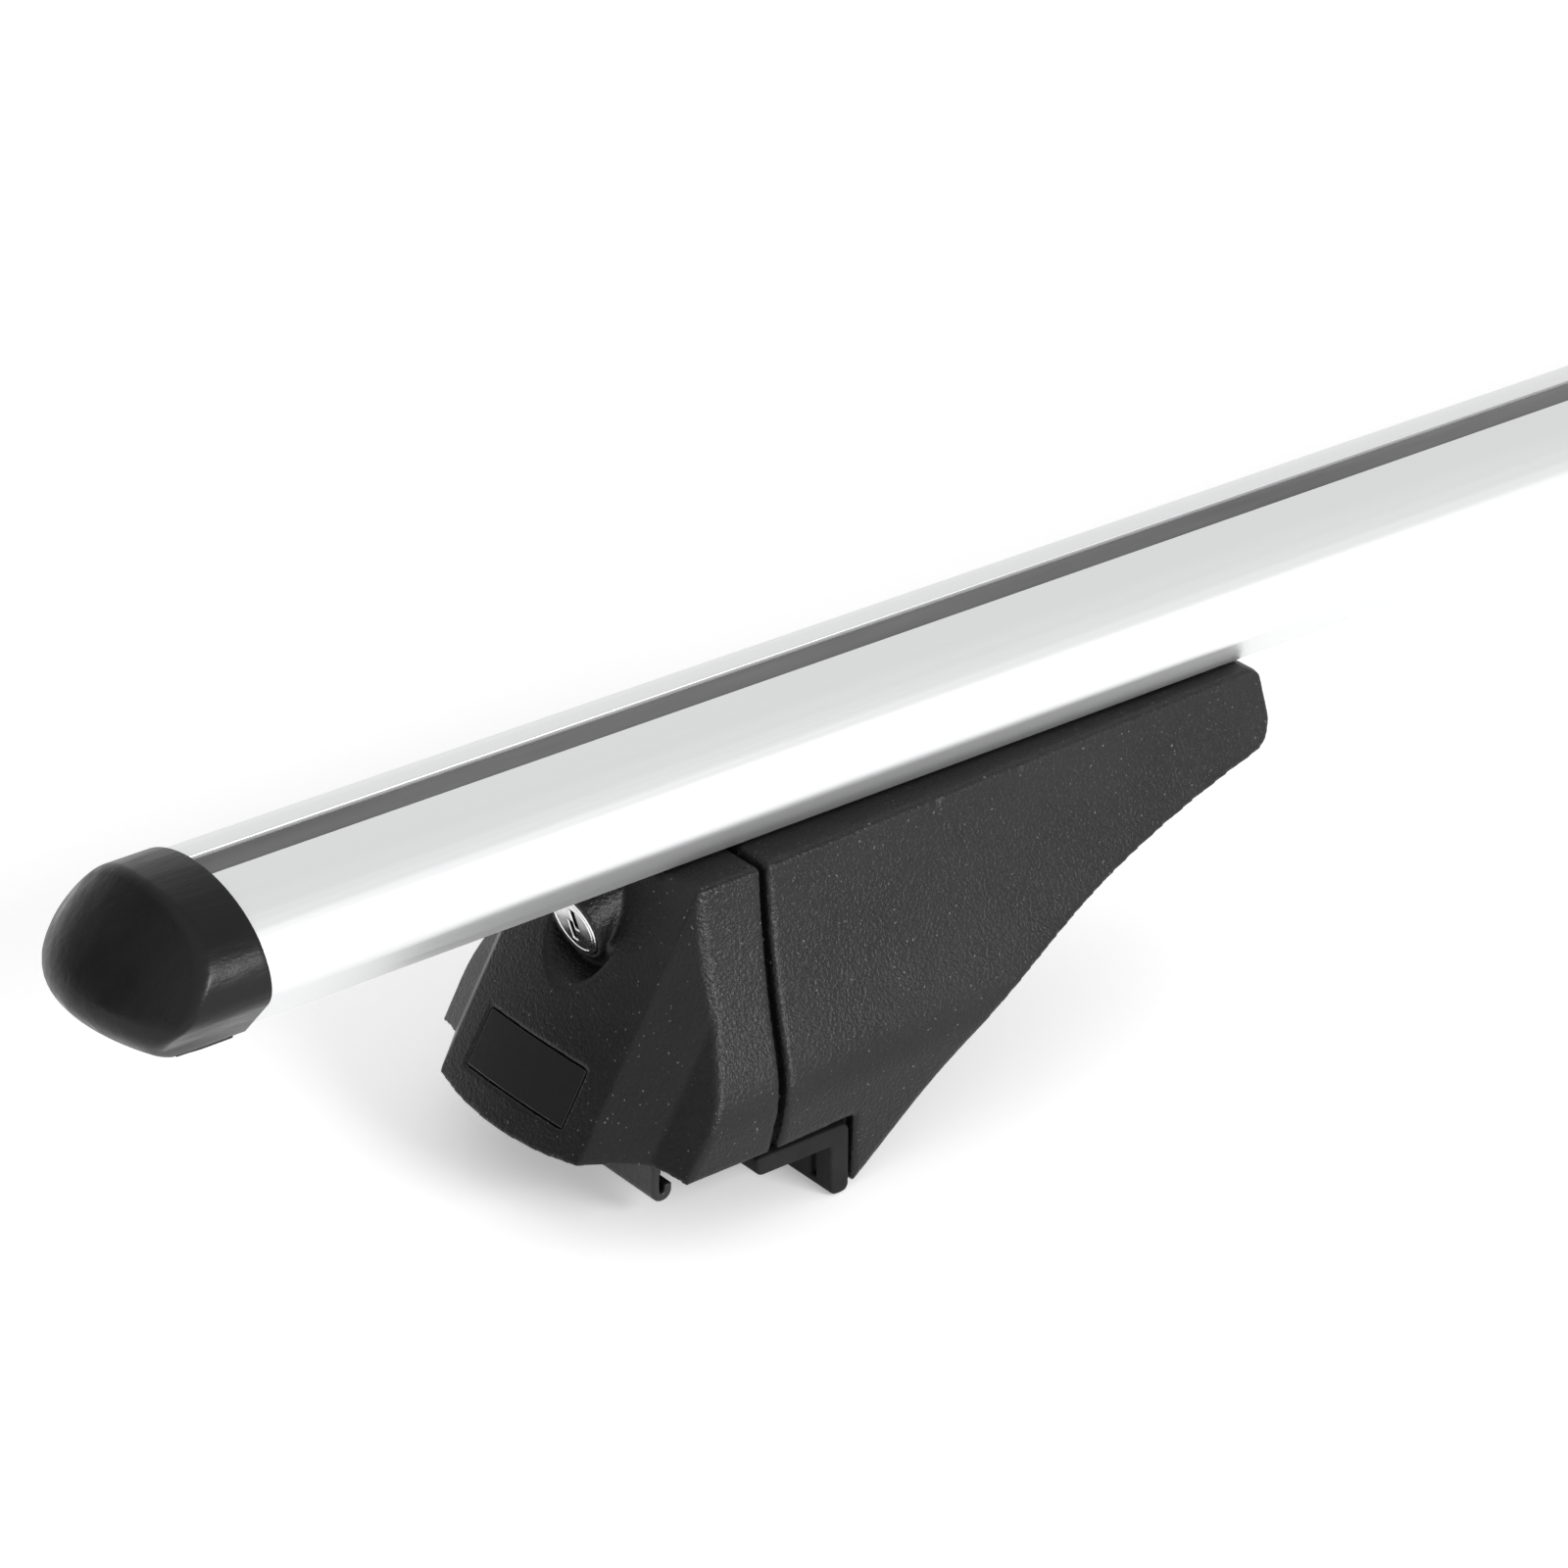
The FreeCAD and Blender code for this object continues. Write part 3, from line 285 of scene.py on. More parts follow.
def bar_outline(grow):
    """Half-moon in (y, z), grown evenly: half an ellipse on top, a tucked flank and a flat bottom"""
    half = BAR_HALF_WIDTH + grow
    low = BAR_BOTTOM_Z - grow
    nose = NOSE_RADIUS + grow
    lip = LIP_RADIUS + grow * CORNER_SHARE
    flat = BAR_HALF_FLAT + grow * CORNER_SHARE
    rise = BAR_TOP_Z + grow - NOSE_Z
    turns = [math.pi / 2 * step / 26 for step in range(26)]
    points = [(half * math.sin(turn), NOSE_Z + rise * math.cos(turn)) for turn in turns]
    middle = Vector((half - nose, NOSE_Z))
    foot = Vector((flat, low))
    reach = foot - middle
    tangent = math.atan2(reach.y, reach.x) + math.acos(nose / reach.length)
    points += arc_points(middle, nose, 0.0, tangent, 9)
    leave = Vector(points[-1])
    flank = (foot - leave).normalized()
    setback = lip * math.tan(math.acos(-flank.x) / 2)
    lip_start = foot - flank * setback
    points += [tuple(leave.lerp(lip_start, share / 5)) for share in range(1, 5)]
    slope = math.atan2(flank.y, flank.x)
    points += arc_points((flat - setback, low + lip), lip, slope + math.pi / 2, -math.pi / 2, 6)
    points += [((flat - setback) * (1 - share / 6), low) for share in range(1, 7)]
    return points + [(-y, z) for y, z in reversed(points[1:-1])]


def face_x(y, z):
    """Where the left cap's domed end is, at a point of the bar's section"""
    across = (y / (BAR_HALF_WIDTH + CAP_RIM)) ** 2
    up = (z - NOSE_Z) / FACE_SPAN
    back = FACE_TILT * up + FACE_ARCH * up ** 2 + FACE_LIFT * up ** 3
    back += FACE_CROWN * across + FACE_EDGE * across ** 2 + FACE_TWIST * across * up
    return back - BAR_HALF_LENGTH - FACE_REACH


def drafted(x, y, z):
    """Point of the cap's outside, with its underside drawn up towards the tip"""
    along = min(1.0, max(0.0, (-BAR_HALF_LENGTH - x) / FACE_REACH))
    below = max(0.0, (NOSE_Z - z) / (NOSE_Z - BAR_BOTTOM_Z))
    return (x, y, z + CAP_DRAFT * along * below)


def ring_on(skin, points):
    return [skin.verts.new(point) for point in points]


def skin_between(skin, first, second):
    """Band of faces between two rings"""
    count = len(first)
    for index in range(count):
        after = (index + 1) % count
        skin.faces.new((first[index], first[after], second[after], second[index]))


def close_ring(skin, ring, point):
    """Fan from a ring to a point"""
    pole = skin.verts.new(point)
    for index in range(len(ring)):
        skin.faces.new((ring[index], ring[(index + 1) % len(ring)], pole))


def add_block(skin, low, high, radius):
    """Box with rounded edges, in the same skin"""
    middle = (Vector(low) + Vector(high)) / 2
    size = Vector(high) - Vector(low)
    shape = Matrix.Translation(middle) @ Matrix.Diagonal((*size, 1.0))
    made = bmesh.ops.create_cube(skin, size=1.0, matrix=shape)
    edges = {edge for vert in made["verts"] for edge in vert.link_edges}
    bmesh.ops.bevel(skin, geom=list(edges), offset=radius, segments=2, profile=0.5, affect="EDGES")


def left_cap_mesh():
    """Domed cap for the bar's left end"""
    skin = bmesh.new()
    rim = CAP_SLEEVE - BAR_HALF_LENGTH
    rings = []
    lip_steps = [(CAP_FIT, -BAR_HALF_LENGTH), (CAP_FIT, rim - CAP_LIP), (CAP_FIT + CAP_LIP / 3, rim - CAP_LIP / 3)]
    lip_steps += [((CAP_FIT + CAP_RIM) / 2, rim), (CAP_RIM - CAP_LIP / 3, rim - CAP_LIP / 3)]
    for grow, x in lip_steps:
        rings.append(ring_on(skin, [(x, y, z) for y, z in bar_outline(grow)]))
    outside = bar_outline(CAP_RIM)
    for step in range(13):
        run = [(rim - CAP_LIP) + (face_x(y, z) + CAP_ROLL - rim + CAP_LIP) * step / 12 for y, z in outside]
        rings.append(ring_on(skin, [drafted(x, y, z) for x, (y, z) in zip(run, outside)]))
    for step in range(1, 7):
        turn = math.pi / 2 * step / 6
        inset = bar_outline(CAP_RIM - CAP_ROLL * (1 - math.cos(turn)))
        run = [face_x(y, z) + CAP_ROLL * (1 - math.sin(turn)) for y, z in inset]
        rings.append(ring_on(skin, [drafted(x, y, z) for x, (y, z) in zip(run, inset)]))
    middle = Vector((0.0, NOSE_Z))
    for step in range(1, 14):
        shrunk = [middle.lerp(Vector(point), 1 - step / 14) for point in inset]
        rings.append(ring_on(skin, [drafted(face_x(y, z), y, z) for y, z in shrunk]))
    for first, second in zip(rings, rings[1:]):
        skin_between(skin, first, second)
    close_ring(skin, rings[0], (-BAR_HALF_LENGTH, 0.0, NOSE_Z))
    close_ring(skin, rings[-1], drafted(face_x(0.0, NOSE_Z), 0.0, NOSE_Z))
    bottom = BAR_BOTTOM_Z - CAP_RIM
    tip = face_x(0.0, bottom) + CAP_ROLL * 3
    slices = []
    for x in [tip + (rim - RIDGE_INSET - tip) * step / 8 for step in range(9)]:
        corners = [(-RIDGE_HALF, RIDGE_ROOT), (RIDGE_HALF, RIDGE_ROOT), (RIDGE_HALF, 0.0)]
        corners += [(RIDGE_HALF - RIDGE_EASE, -RIDGE_HEIGHT), (RIDGE_EASE - RIDGE_HALF, -RIDGE_HEIGHT)]
        corners += [(-RIDGE_HALF, 0.0)]
        lift = drafted(x, 0.0, bottom)[2]
        depth = min(1.0, (x - tip) / RIDGE_RISE)
        slices.append(ring_on(skin, [(x, y, lift + (z if z > 0 else z * depth)) for y, z in corners]))
    for first, second in zip(slices, slices[1:]):
        skin_between(skin, first, second)
    skin.faces.new(slices[0])
    skin.faces.new(slices[-1])
    for side in (-1.0, 1.0):
        ends = sorted((side * TONGUE_INSIDE, side * (TONGUE_INSIDE + TONGUE_WIDTH)))
        low = (-BAR_HALF_LENGTH - CAP_RIM, ends[0], NOSE_Z - TONGUE_HALF_HEIGHT)
        high = (TONGUE_LENGTH - BAR_HALF_LENGTH, ends[1], NOSE_Z + TONGUE_HALF_HEIGHT)
        add_block(skin, low, high, 0.0005)
    bmesh.ops.recalc_face_normals(skin, faces=skin.faces)
    return worked(smooth(mesh_of(skin, "cap")), [EVEN_SHADING])


def half_turned(mesh):
    """Copy of a left piece's mesh, turned half round to the right end"""
    turned = mesh.copy()
    turned.transform(Matrix.Rotation(math.pi, 4, "Z"))
    return turned


def at_end(mesh, side):
    return mesh if side == "left" else half_turned(mesh)


cap_plastic = new_finish("cap_plastic", CAP_TONE, roughness=0.38, gloss=0.3)
handling = grain(cap_plastic, (35.0, 140.0, 140.0), 5.0, 0.6)
to_shader(cap_plastic, spread(cap_plastic, handling, *CAP_SHEEN), "Roughness")
moulded = raise_by(cap_plastic, grain(cap_plastic, (1800.0,) * 3, 3.0), 0.1, 0.0002)
raise_by(cap_plastic, handling, 0.2, 0.0016, moulded)
cap_mesh = left_cap_mesh()
for side in SIDES:
    fit_piece(side + "_cap_moulding", at_end(cap_mesh, side), cap_plastic, "bar", "cap_plastic", side + "_end_cap")


# Foot bodies
# Each is one thick moulding of black glass-filled plastic: the long wedge under the bar, the notch for
# the rail and the neck inside the cover. The tool's edges are eased, and its fine grain catches the light.
FOOT_TONE = (0.004, 0.004, 0.0042, 1.0)
FOOT_WORN = (0.009, 0.009, 0.0093, 1.0)
SPECK_TONE = (0.13, 0.13, 0.13, 1.0)
FOOT_SHEEN = (0.30, 0.41)
FOOT_GLOSS = 0.33
FOOT_GRAIN = 1300.0
FOOT_GRAIN_RELIEF = (0.5, 0.0005)
FOOT_WAVES = 45.0
FOOT_WAVE_RELIEF = (0.1, 0.002)
FOOT_PATCHES = 28.0
SPECK_GRAIN = 1500.0
HAIR_LINES = (45.0, 1500.0, 700.0)
HAIR_TURN = (0.5, 0.7, 0.2)
HAIR_SHARE = 0.3
RARE = (0.80, 0.84)
BODY_FINENESS = 0.00078
GRID_FILL = 0.99
EASING = 4
SHARP_EDGE = math.radians(35.0)
BLUNT_SHARE = 0.65
EDGE_REACH = 2.2


def blunted(mesh, skin, depth):
    """Draws the mesh back to one flat across each convex edge of the skin that it was made from"""
    edges = bmesh.new()
    edges.from_mesh(skin)
    places = []
    for edge in edges.edges:
        if not edge.is_manifold or not edge.is_convex or edge.calc_face_angle() < SHARP_EDGE:
            continue
        outward = (edge.link_faces[0].normal + edge.link_faces[1].normal).normalized()
        start, run = edge.verts[0].co.copy(), edge.verts[1].co - edge.verts[0].co
        count = math.ceil(run.length / depth)
        places += [(start + run * (step / count), outward) for step in range(count + 1)]
    edges.free()
    tree = kdtree.KDTree(len(places))
    for index, (place, outward) in enumerate(places):
        tree.insert(place, index)
    tree.balance()
    for vertex in mesh.vertices:
        place, index, gap = tree.find(vertex.co)
        if gap < EDGE_REACH * depth:
            outward = places[index][1]
            vertex.co -= outward * max(0.0, (vertex.co - place).dot(outward) + depth)
    return mesh


def eased_copy(node, name, fineness, turns=EASING):
    """A solid's shape drawn again on a fine even grid, with its edges softened by the turns"""
    skin = mesh_of(skin_of(node), name)
    spans = [max(v.co[k] for v in skin.vertices) - min(v.co[k] for v in skin.vertices) for k in range(3)]
    cells = max(spans) / fineness
    depth = math.ceil(math.log2(cells / GRID_FILL))
    grid = {"mode": "SHARP", "octree_depth": depth, "scale": cells / 2 ** depth, "sharpness": 1.0,
            "use_remove_disconnected": False}
    form = blunted(worked(skin.copy(), [("REMESH", grid)]), skin, BLUNT_SHARE * fineness)
    return smooth(worked(form, [("SMOOTH", {"factor": 0.5, "iterations": turns})]))


def speckled_plastic(name, tone, worn, sheen):
    """Black plastic with moulded grain, uneven sheen, sparse pale specks and hair scratches"""
    finish = new_finish(name, tone, gloss=FOOT_GLOSS)
    fine = grain(finish, (FOOT_GRAIN,) * 3, 2.0, 0.6)
    patches = grain(finish, (FOOT_PATCHES,) * 3, 4.0, 0.6)
    specks = spread(finish, grain(finish, (SPECK_GRAIN,) * 3, 0.0), 0.0, 1.0, *RARE)
    hairs = spread(finish, grain(finish, HAIR_LINES, 1.0, 0.5, HAIR_TURN), 0.0, HAIR_SHARE, *RARE)
    marks = larger_of(finish, specks, hairs)
    body = blend_tones(finish, spread(finish, patches, 0.0, 1.0), tone, worn)
    to_shader(finish, blend_tones(finish, marks, body, SPECK_TONE), "Base Color")
    to_shader(finish, spread(finish, patches, *sheen), "Roughness")
    raised = raise_by(finish, fine, *FOOT_GRAIN_RELIEF)
    raise_by(finish, grain(finish, (FOOT_WAVES,) * 3, 2.0), *FOOT_WAVE_RELIEF, raised)
    return finish


foot_plastic = speckled_plastic("foot_plastic", FOOT_TONE, FOOT_WORN, FOOT_SHEEN)
body_mesh = eased_copy("left_foot_body", "foot_body", BODY_FINENESS)
for side in SIDES:
    fit_piece(side + "_foot_moulding", at_end(body_mesh, side), foot_plastic, side + "_foot", "foot_plastic",
              side + "_foot_body")


# Channel bolts
# Zinc-plated tee bolts hang in the bar's bottom channel, each with a washer and a nut in a well of the
# foot body. They are turned and rolled from steel wire, and the nuts are pressed.
BOLT_PLACES = {"outer": 0.048, "inner": 0.122}
FOOT_X = 0.464
ZINC_TONE = (0.58, 0.58, 0.56, 1.0)
ZINC_DULL = (0.42, 0.42, 0.41, 1.0)
BOLT_RADIUS = 0.003
BOLT_PITCH = 0.001
THREAD_STOP = 0.004
SHANK_LENGTH = 0.0036
TEE_GRIP = 0.001
TEE_EASE = 0.0004
BOLT_WASHER_GAP = 0.0003
BOLT_WASHER_RADIUS = 0.006
BOLT_ROOT = 0.0026
BOLT_CHAMFER = 0.0005
TEE_HALF_LENGTH = 0.007
TEE_HALF_WIDTH = 0.0075
TEE_HEIGHT = 0.004
BOLT_NUT_FLATS = 0.010
RING_SIDES = 48


def turned_ring(skin, place, along, radius, flats=None):
    """Ring about an axis, round or with six flats"""
    points = []
    for side in range(RING_SIDES):
        angle = 2 * math.pi * side / RING_SIDES
        reach = radius
        if flats is not None:
            off = (angle + math.pi / 6) % (math.pi / 3) - math.pi / 6
            reach = min(radius, flats / 2 / math.cos(off))
        points.append(place @ Vector((reach * math.cos(angle), reach * math.sin(angle), along)))
    return ring_on(skin, points)


def add_turned(skin, place, profile, hollow=False):
    """Turned shape from (along, radius) or (along, radius, flats), closed on its axis or into a tube"""
    rings = [turned_ring(skin, place, *step) for step in profile]
    for first, second in zip(rings, rings[1:]):
        skin_between(skin, first, second)
    if hollow:
        skin_between(skin, rings[-1], rings[0])
    else:
        close_ring(skin, rings[0], place @ Vector((0.0, 0.0, profile[0][0])))
        close_ring(skin, rings[-1], place @ Vector((0.0, 0.0, profile[-1][0])))


def new_rule(name, inputs):
    """Geometry Nodes tree with named inputs and one geometry output"""
    tree = bpy.data.node_groups.new(name, "GeometryNodeTree")
    tree.interface.new_socket("Geometry", in_out="INPUT", socket_type="NodeSocketGeometry")
    for label, kind in inputs:
        tree.interface.new_socket(label, in_out="INPUT", socket_type=kind)
    tree.interface.new_socket("Geometry", in_out="OUTPUT", socket_type="NodeSocketGeometry")
    return tree, tree.nodes.new("NodeGroupInput"), tree.nodes.new("NodeGroupOutput")


def rule_node(tree, kind, links, **settings):
    """Node of a rule, with inputs linked by name and plain settings"""
    node = tree.nodes.new(kind)
    for key, value in settings.items():
        setattr(node, key, value)
    for label, source in links.items():
        if hasattr(source, "links"):
            tree.links.new(source, node.inputs[label])
        else:
            node.inputs[label].default_value = source
    return node


def finish_rule(tree, made, given, end):
    """Last nodes of a rule: real geometry with its finish"""
    real = rule_node(tree, "GeometryNodeRealizeInstances", {"Geometry": made})
    coated = rule_node(tree, "GeometryNodeSetMaterial", {
        "Geometry": real.outputs["Geometry"], "Material": given.outputs["Material"],
    })
    tree.links.new(coated.outputs["Geometry"], end.inputs["Geometry"])


def by_rule(tree, name, values):
    """Mesh that a rule makes from values given by input name"""
    blank = bpy.data.objects.new(name, bpy.data.meshes.new(name))
    modifier = blank.modifiers.new("rule", "NODES")
    modifier.node_group = tree
    for item in tree.interface.items_tree:
        if item.in_out == "INPUT" and item.name in values:
            modifier[item.identifier] = values[item.name]
    scene.collection.objects.link(blank)
    depsgraph = bpy.context.evaluated_depsgraph_get()
    mesh = bpy.data.meshes.new_from_object(blank.evaluated_get(depsgraph))
    blank.modifiers.remove(modifier)
    bpy.data.objects.remove(blank)
    return mesh


THREAD_INPUTS = [
    ("Radius", "NodeSocketFloat"), ("Depth", "NodeSocketFloat"), ("Turns", "NodeSocketFloat"),
    ("Length", "NodeSocketFloat"), ("Material", "NodeSocketMaterial"),
]
thread_rule, given, end = new_rule("rolled_thread", THREAD_INPUTS)
helix = rule_node(thread_rule, "GeometryNodeCurveSpiral", {
    "Resolution": 28, "Rotations": given.outputs["Turns"], "Start Radius": given.outputs["Radius"],
    "End Radius": given.outputs["Radius"], "Height": given.outputs["Length"],
})
upright = rule_node(thread_rule, "GeometryNodeSetCurveNormal", {"Curve": helix.outputs["Curve"]}, mode="Z_UP")
ridge = rule_node(thread_rule, "GeometryNodeCurvePrimitiveCircle", {
    "Resolution": 4, "Radius": given.outputs["Depth"],
})
swept = rule_node(thread_rule, "GeometryNodeCurveToMesh", {
    "Curve": upright.outputs["Curve"], "Profile Curve": ridge.outputs["Curve"], "Fill Caps": True,
})
finish_rule(thread_rule, swept.outputs["Mesh"], given, end)


def add_thread(skin, place, start, length, crest, root, pitch, finish):
    """Rolled thread round an axis, laid into the same skin"""
    depth = (crest - root) / 2
    values = {"Radius": crest - depth, "Depth": depth, "Turns": length / pitch, "Length": length, "Material": finish}
    mesh = by_rule(thread_rule, "thread", values)
    mesh.transform(place @ Matrix.Translation((0.0, 0.0, start)))
    skin.from_mesh(mesh)
    bpy.data.meshes.remove(mesh)


def zinc_finish(name):
    """Bright zinc plating, cloudy and a little dull in patches"""
    finish = new_finish(name, ZINC_TONE, metallic=1.0)
    clouds = grain(finish, (120.0,) * 3, 5.0, 0.65)
    to_shader(finish, blend_tones(finish, spread(finish, clouds, 0.0, 1.0), ZINC_TONE, ZINC_DULL), "Base Color")
    to_shader(finish, spread(finish, clouds, 0.24, 0.42), "Roughness")
    raise_by(finish, grain(finish, (1500.0,) * 3, 3.0), 0.06, 0.0002)
    return finish


def flat_shaded(skin, name):
    """Finished mesh of a skin, smooth up to its real edges"""
    bmesh.ops.recalc_face_normals(skin, faces=skin.faces)
    for edge in skin.edges:
        edge.smooth = not edge.is_manifold or edge.calc_face_angle(0.0) < REAL_EDGE
    return smooth(mesh_of(skin, name))


def nut_mesh(place, low, high, flats, hole, name):
    """Hexagon nut with turned chamfers on its corners and its hole"""
    ease = (high - low) * 0.12
    corner = flats / math.sqrt(3)
    inner = flats / 2 * 0.95
    profile = [(low + ease, hole), (low, hole + ease), (low, inner), (low + ease, corner, flats)]
    profile += [(high - ease, corner, flats), (high, inner), (high, hole + ease), (high - ease, hole)]
    skin = bmesh.new()
    add_turned(skin, place, profile, hollow=True)
    return flat_shaded(skin, name)


def washer_mesh(place, low, high, inner, outer, name):
    """Stamped washer with a rolled outer edge on one face"""
    ease = (high - low) * 0.25
    profile = [(low, inner), (low, outer - ease), (low + ease, outer), (high - ease / 3, outer)]
    profile += [(high, outer - ease / 3), (high, inner)]
    skin = bmesh.new()
    add_turned(skin, place, profile, hollow=True)
    return flat_shaded(skin, name)


def tee_bolt_mesh(x, low, high, finish):
    """Tee bolt from its lower end to the top of its head"""
    skin = bmesh.new()
    place = Matrix.Translation((x, 0.0, 0.0))
    seat = high - TEE_HEIGHT
    tip = [(low, BOLT_ROOT - BOLT_CHAMFER), (low + BOLT_CHAMFER, BOLT_ROOT)]
    shank = [(seat - THREAD_STOP, BOLT_ROOT), (seat - SHANK_LENGTH, BOLT_RADIUS), (seat + TEE_GRIP, BOLT_RADIUS)]
    add_turned(skin, place, tip + shank)
    head_low = (x - TEE_HALF_LENGTH, -TEE_HALF_WIDTH, seat)
    add_block(skin, head_low, (x + TEE_HALF_LENGTH, TEE_HALF_WIDTH, high), TEE_EASE)
    length = seat - THREAD_STOP - low - BOLT_CHAMFER
    add_thread(skin, place, low + BOLT_CHAMFER, length, BOLT_RADIUS, BOLT_ROOT, BOLT_PITCH, finish)
    return flat_shaded(skin, "tee_bolt")


zinc_steel = zinc_finish("zinc_steel")
for spot in BOLT_PLACES:
    bolt_x = BOLT_PLACES[spot] - FOOT_X
    above = Matrix.Translation((bolt_x, 0.0, 0.0))
    low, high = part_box("left_channel_bolt_" + spot)
    bolt = tee_bolt_mesh(bolt_x, low[2], high[2], zinc_steel)
    low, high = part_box("left_channel_washer_" + spot)
    washer = washer_mesh(above, low[2], high[2], BOLT_RADIUS + BOLT_WASHER_GAP, BOLT_WASHER_RADIUS,
                         "washer")
    low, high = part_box("left_channel_nut_" + spot)
    nut = nut_mesh(above, low[2], high[2], BOLT_NUT_FLATS, BOLT_RADIUS, "nut")
    for side in SIDES:
        for kind, mesh in (("bolt", bolt), ("washer", washer), ("nut", nut)):
            node = "%s_channel_%s_%s" % (side, kind, spot)
            fit_piece(node.replace("channel", "tee"), at_end(mesh, side), zinc_steel, side + "_foot", "zinc_steel",
                      node)


# Jaw pads
# Black rubber angles, moulded and pushed into the notch under each foot body, where they grip the rail.
PAD_TONE = (0.007, 0.007, 0.0072, 1.0)
PAD_PALE = (0.015, 0.015, 0.015, 1.0)
PAD_FINENESS = 0.0004
pad_rubber = new_finish("pad_rubber", PAD_TONE, roughness=0.7, gloss=0.25)
bloom = grain(pad_rubber, (90.0,) * 3, 5.0, 0.65)
to_shader(pad_rubber, blend_tones(pad_rubber, spread(pad_rubber, bloom, 0.0, 1.0), PAD_TONE, PAD_PALE), "Base Color")
raise_by(pad_rubber, grain(pad_rubber, (1600.0,) * 3, 3.0), 0.2, 0.0003)
pad_mesh = eased_copy("left_jaw_pad", "jaw_pad", PAD_FINENESS)
for side in SIDES:
    fit_piece(side + "_jaw_rubber", at_end(pad_mesh, side), pad_rubber, side + "_foot", "pad_rubber",
              side + "_jaw_pad")


# Clamp claws
# Each is a bent steel plate, coated black, with a joggle and a hooked lip that goes under the rail. A
# rubber strip is stuck on its inner face.
CLAW_TONE = (0.014, 0.014, 0.0145, 1.0)
CLAW_FINENESS = 0.00036
black_steel = new_finish("black_steel", CLAW_TONE, roughness=0.42)
coat = grain(black_steel, (700.0,) * 3, 4.0, 0.6)
to_shader(black_steel, spread(black_steel, coat, 0.34, 0.5), "Roughness")
raise_by(black_steel, coat, 0.14, 0.0004)
claw_mesh = eased_copy("left_clamp_claw", "claw", CLAW_FINENESS, 4)
claw_pad_mesh = eased_copy("left_claw_pad", "claw_pad", CLAW_FINENESS)
for side in SIDES:
    fit_piece(side + "_claw_plate", at_end(claw_mesh, side), black_steel, side + "_claw", "black_steel",
              side + "_clamp_claw")
    fit_piece(side + "_claw_rubber", at_end(claw_pad_mesh, side), pad_rubber, side + "_claw", "pad_rubber",
              side + "_claw_pad")


# Clamp screws
# Socket head screws, zinc plated, with a knurled head, a washer under it and a nut held in the foot
# body. Turning one draws its claw towards the jaw pad.
SCREW_RADIUS = 0.004
SCREW_ROOT = 0.0034
SCREW_PITCH = 0.00125
SCREW_HEAD_RADIUS = 0.0065
SCREW_HEAD_LENGTH = 0.0065
SCREW_SOCKET = 0.006
SOCKET_DEPTH = 0.004
SCREW_WASHER_RADIUS = 0.008
NUT_FLATS = 0.013
KNURLS = 44
KNURL_RISE = 0.00022

knurl_rule, given, end = new_rule("head_knurl", [
    ("Radius", "NodeSocketFloat"), ("Length", "NodeSocketFloat"), ("Count", "NodeSocketInt"),
    ("Rise", "NodeSocketFloat"), ("Material", "NodeSocketMaterial"),
])
round_head = rule_node(knurl_rule, "GeometryNodeCurvePrimitiveCircle", {
    "Resolution": given.outputs["Count"], "Radius": given.outputs["Radius"],
})
tooth = rule_node(knurl_rule, "GeometryNodeMeshCylinder", {
    "Vertices": 6, "Radius": given.outputs["Rise"], "Depth": given.outputs["Length"],
})
teeth = rule_node(knurl_rule, "GeometryNodeInstanceOnPoints", {
    "Points": round_head.outputs["Curve"], "Instance": tooth.outputs["Mesh"],
})
finish_rule(knurl_rule, teeth.outputs["Instances"], given, end)

low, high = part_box("left_clamp_screw")
screw_z = (low[2] + high[2]) / 2
along_x = Matrix.Translation((0.0, 0.0, screw_z)) @ Matrix.Rotation(math.pi / 2, 4, "Y")
head_low = low[0]
seat = head_low + SCREW_HEAD_LENGTH
screw_skin = bmesh.new()
corner = SCREW_SOCKET / math.sqrt(3)
screw_profile = [
    (head_low + SOCKET_DEPTH, corner, SCREW_SOCKET), (head_low + 0.0003, corner, SCREW_SOCKET),
    (head_low, corner + 0.0003), (head_low, SCREW_HEAD_RADIUS - 0.0009),
    (head_low + 0.0003, SCREW_HEAD_RADIUS - 0.0004), (head_low + 0.0009, SCREW_HEAD_RADIUS - KNURL_RISE),
    (seat - 0.0003, SCREW_HEAD_RADIUS - KNURL_RISE), (seat, SCREW_HEAD_RADIUS - 0.0005), (seat, SCREW_RADIUS),
    (seat + 0.004, SCREW_RADIUS), (seat + 0.0045, SCREW_ROOT), (high[0] - 0.0006, SCREW_ROOT),
    (high[0], SCREW_ROOT - 0.0006),
]
add_turned(screw_skin, along_x, screw_profile)
add_thread(screw_skin, along_x, seat + 0.0045, high[0] - 0.0012 - seat - 0.0045, SCREW_RADIUS, SCREW_ROOT,
           SCREW_PITCH, zinc_steel)
knurl_values = {
    "Radius": SCREW_HEAD_RADIUS - KNURL_RISE, "Length": SCREW_HEAD_LENGTH - 0.0014, "Count": KNURLS,
    "Rise": KNURL_RISE, "Material": zinc_steel,
}
knurl_mesh = by_rule(knurl_rule, "knurl", knurl_values)
knurl_mesh.transform(along_x @ Matrix.Translation((0.0, 0.0, (head_low + 0.001 + seat) / 2)))
screw_skin.from_mesh(knurl_mesh)
screw_mesh = flat_shaded(screw_skin, "screw")
low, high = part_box("left_clamp_washer")
ring_mesh = washer_mesh(along_x, low[0], high[0], SCREW_RADIUS + 0.0004, SCREW_WASHER_RADIUS, "ring")
low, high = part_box("left_clamp_nut")
clamp_nut_mesh = nut_mesh(along_x, low[0], high[0], NUT_FLATS, SCREW_RADIUS, "clamp_nut")
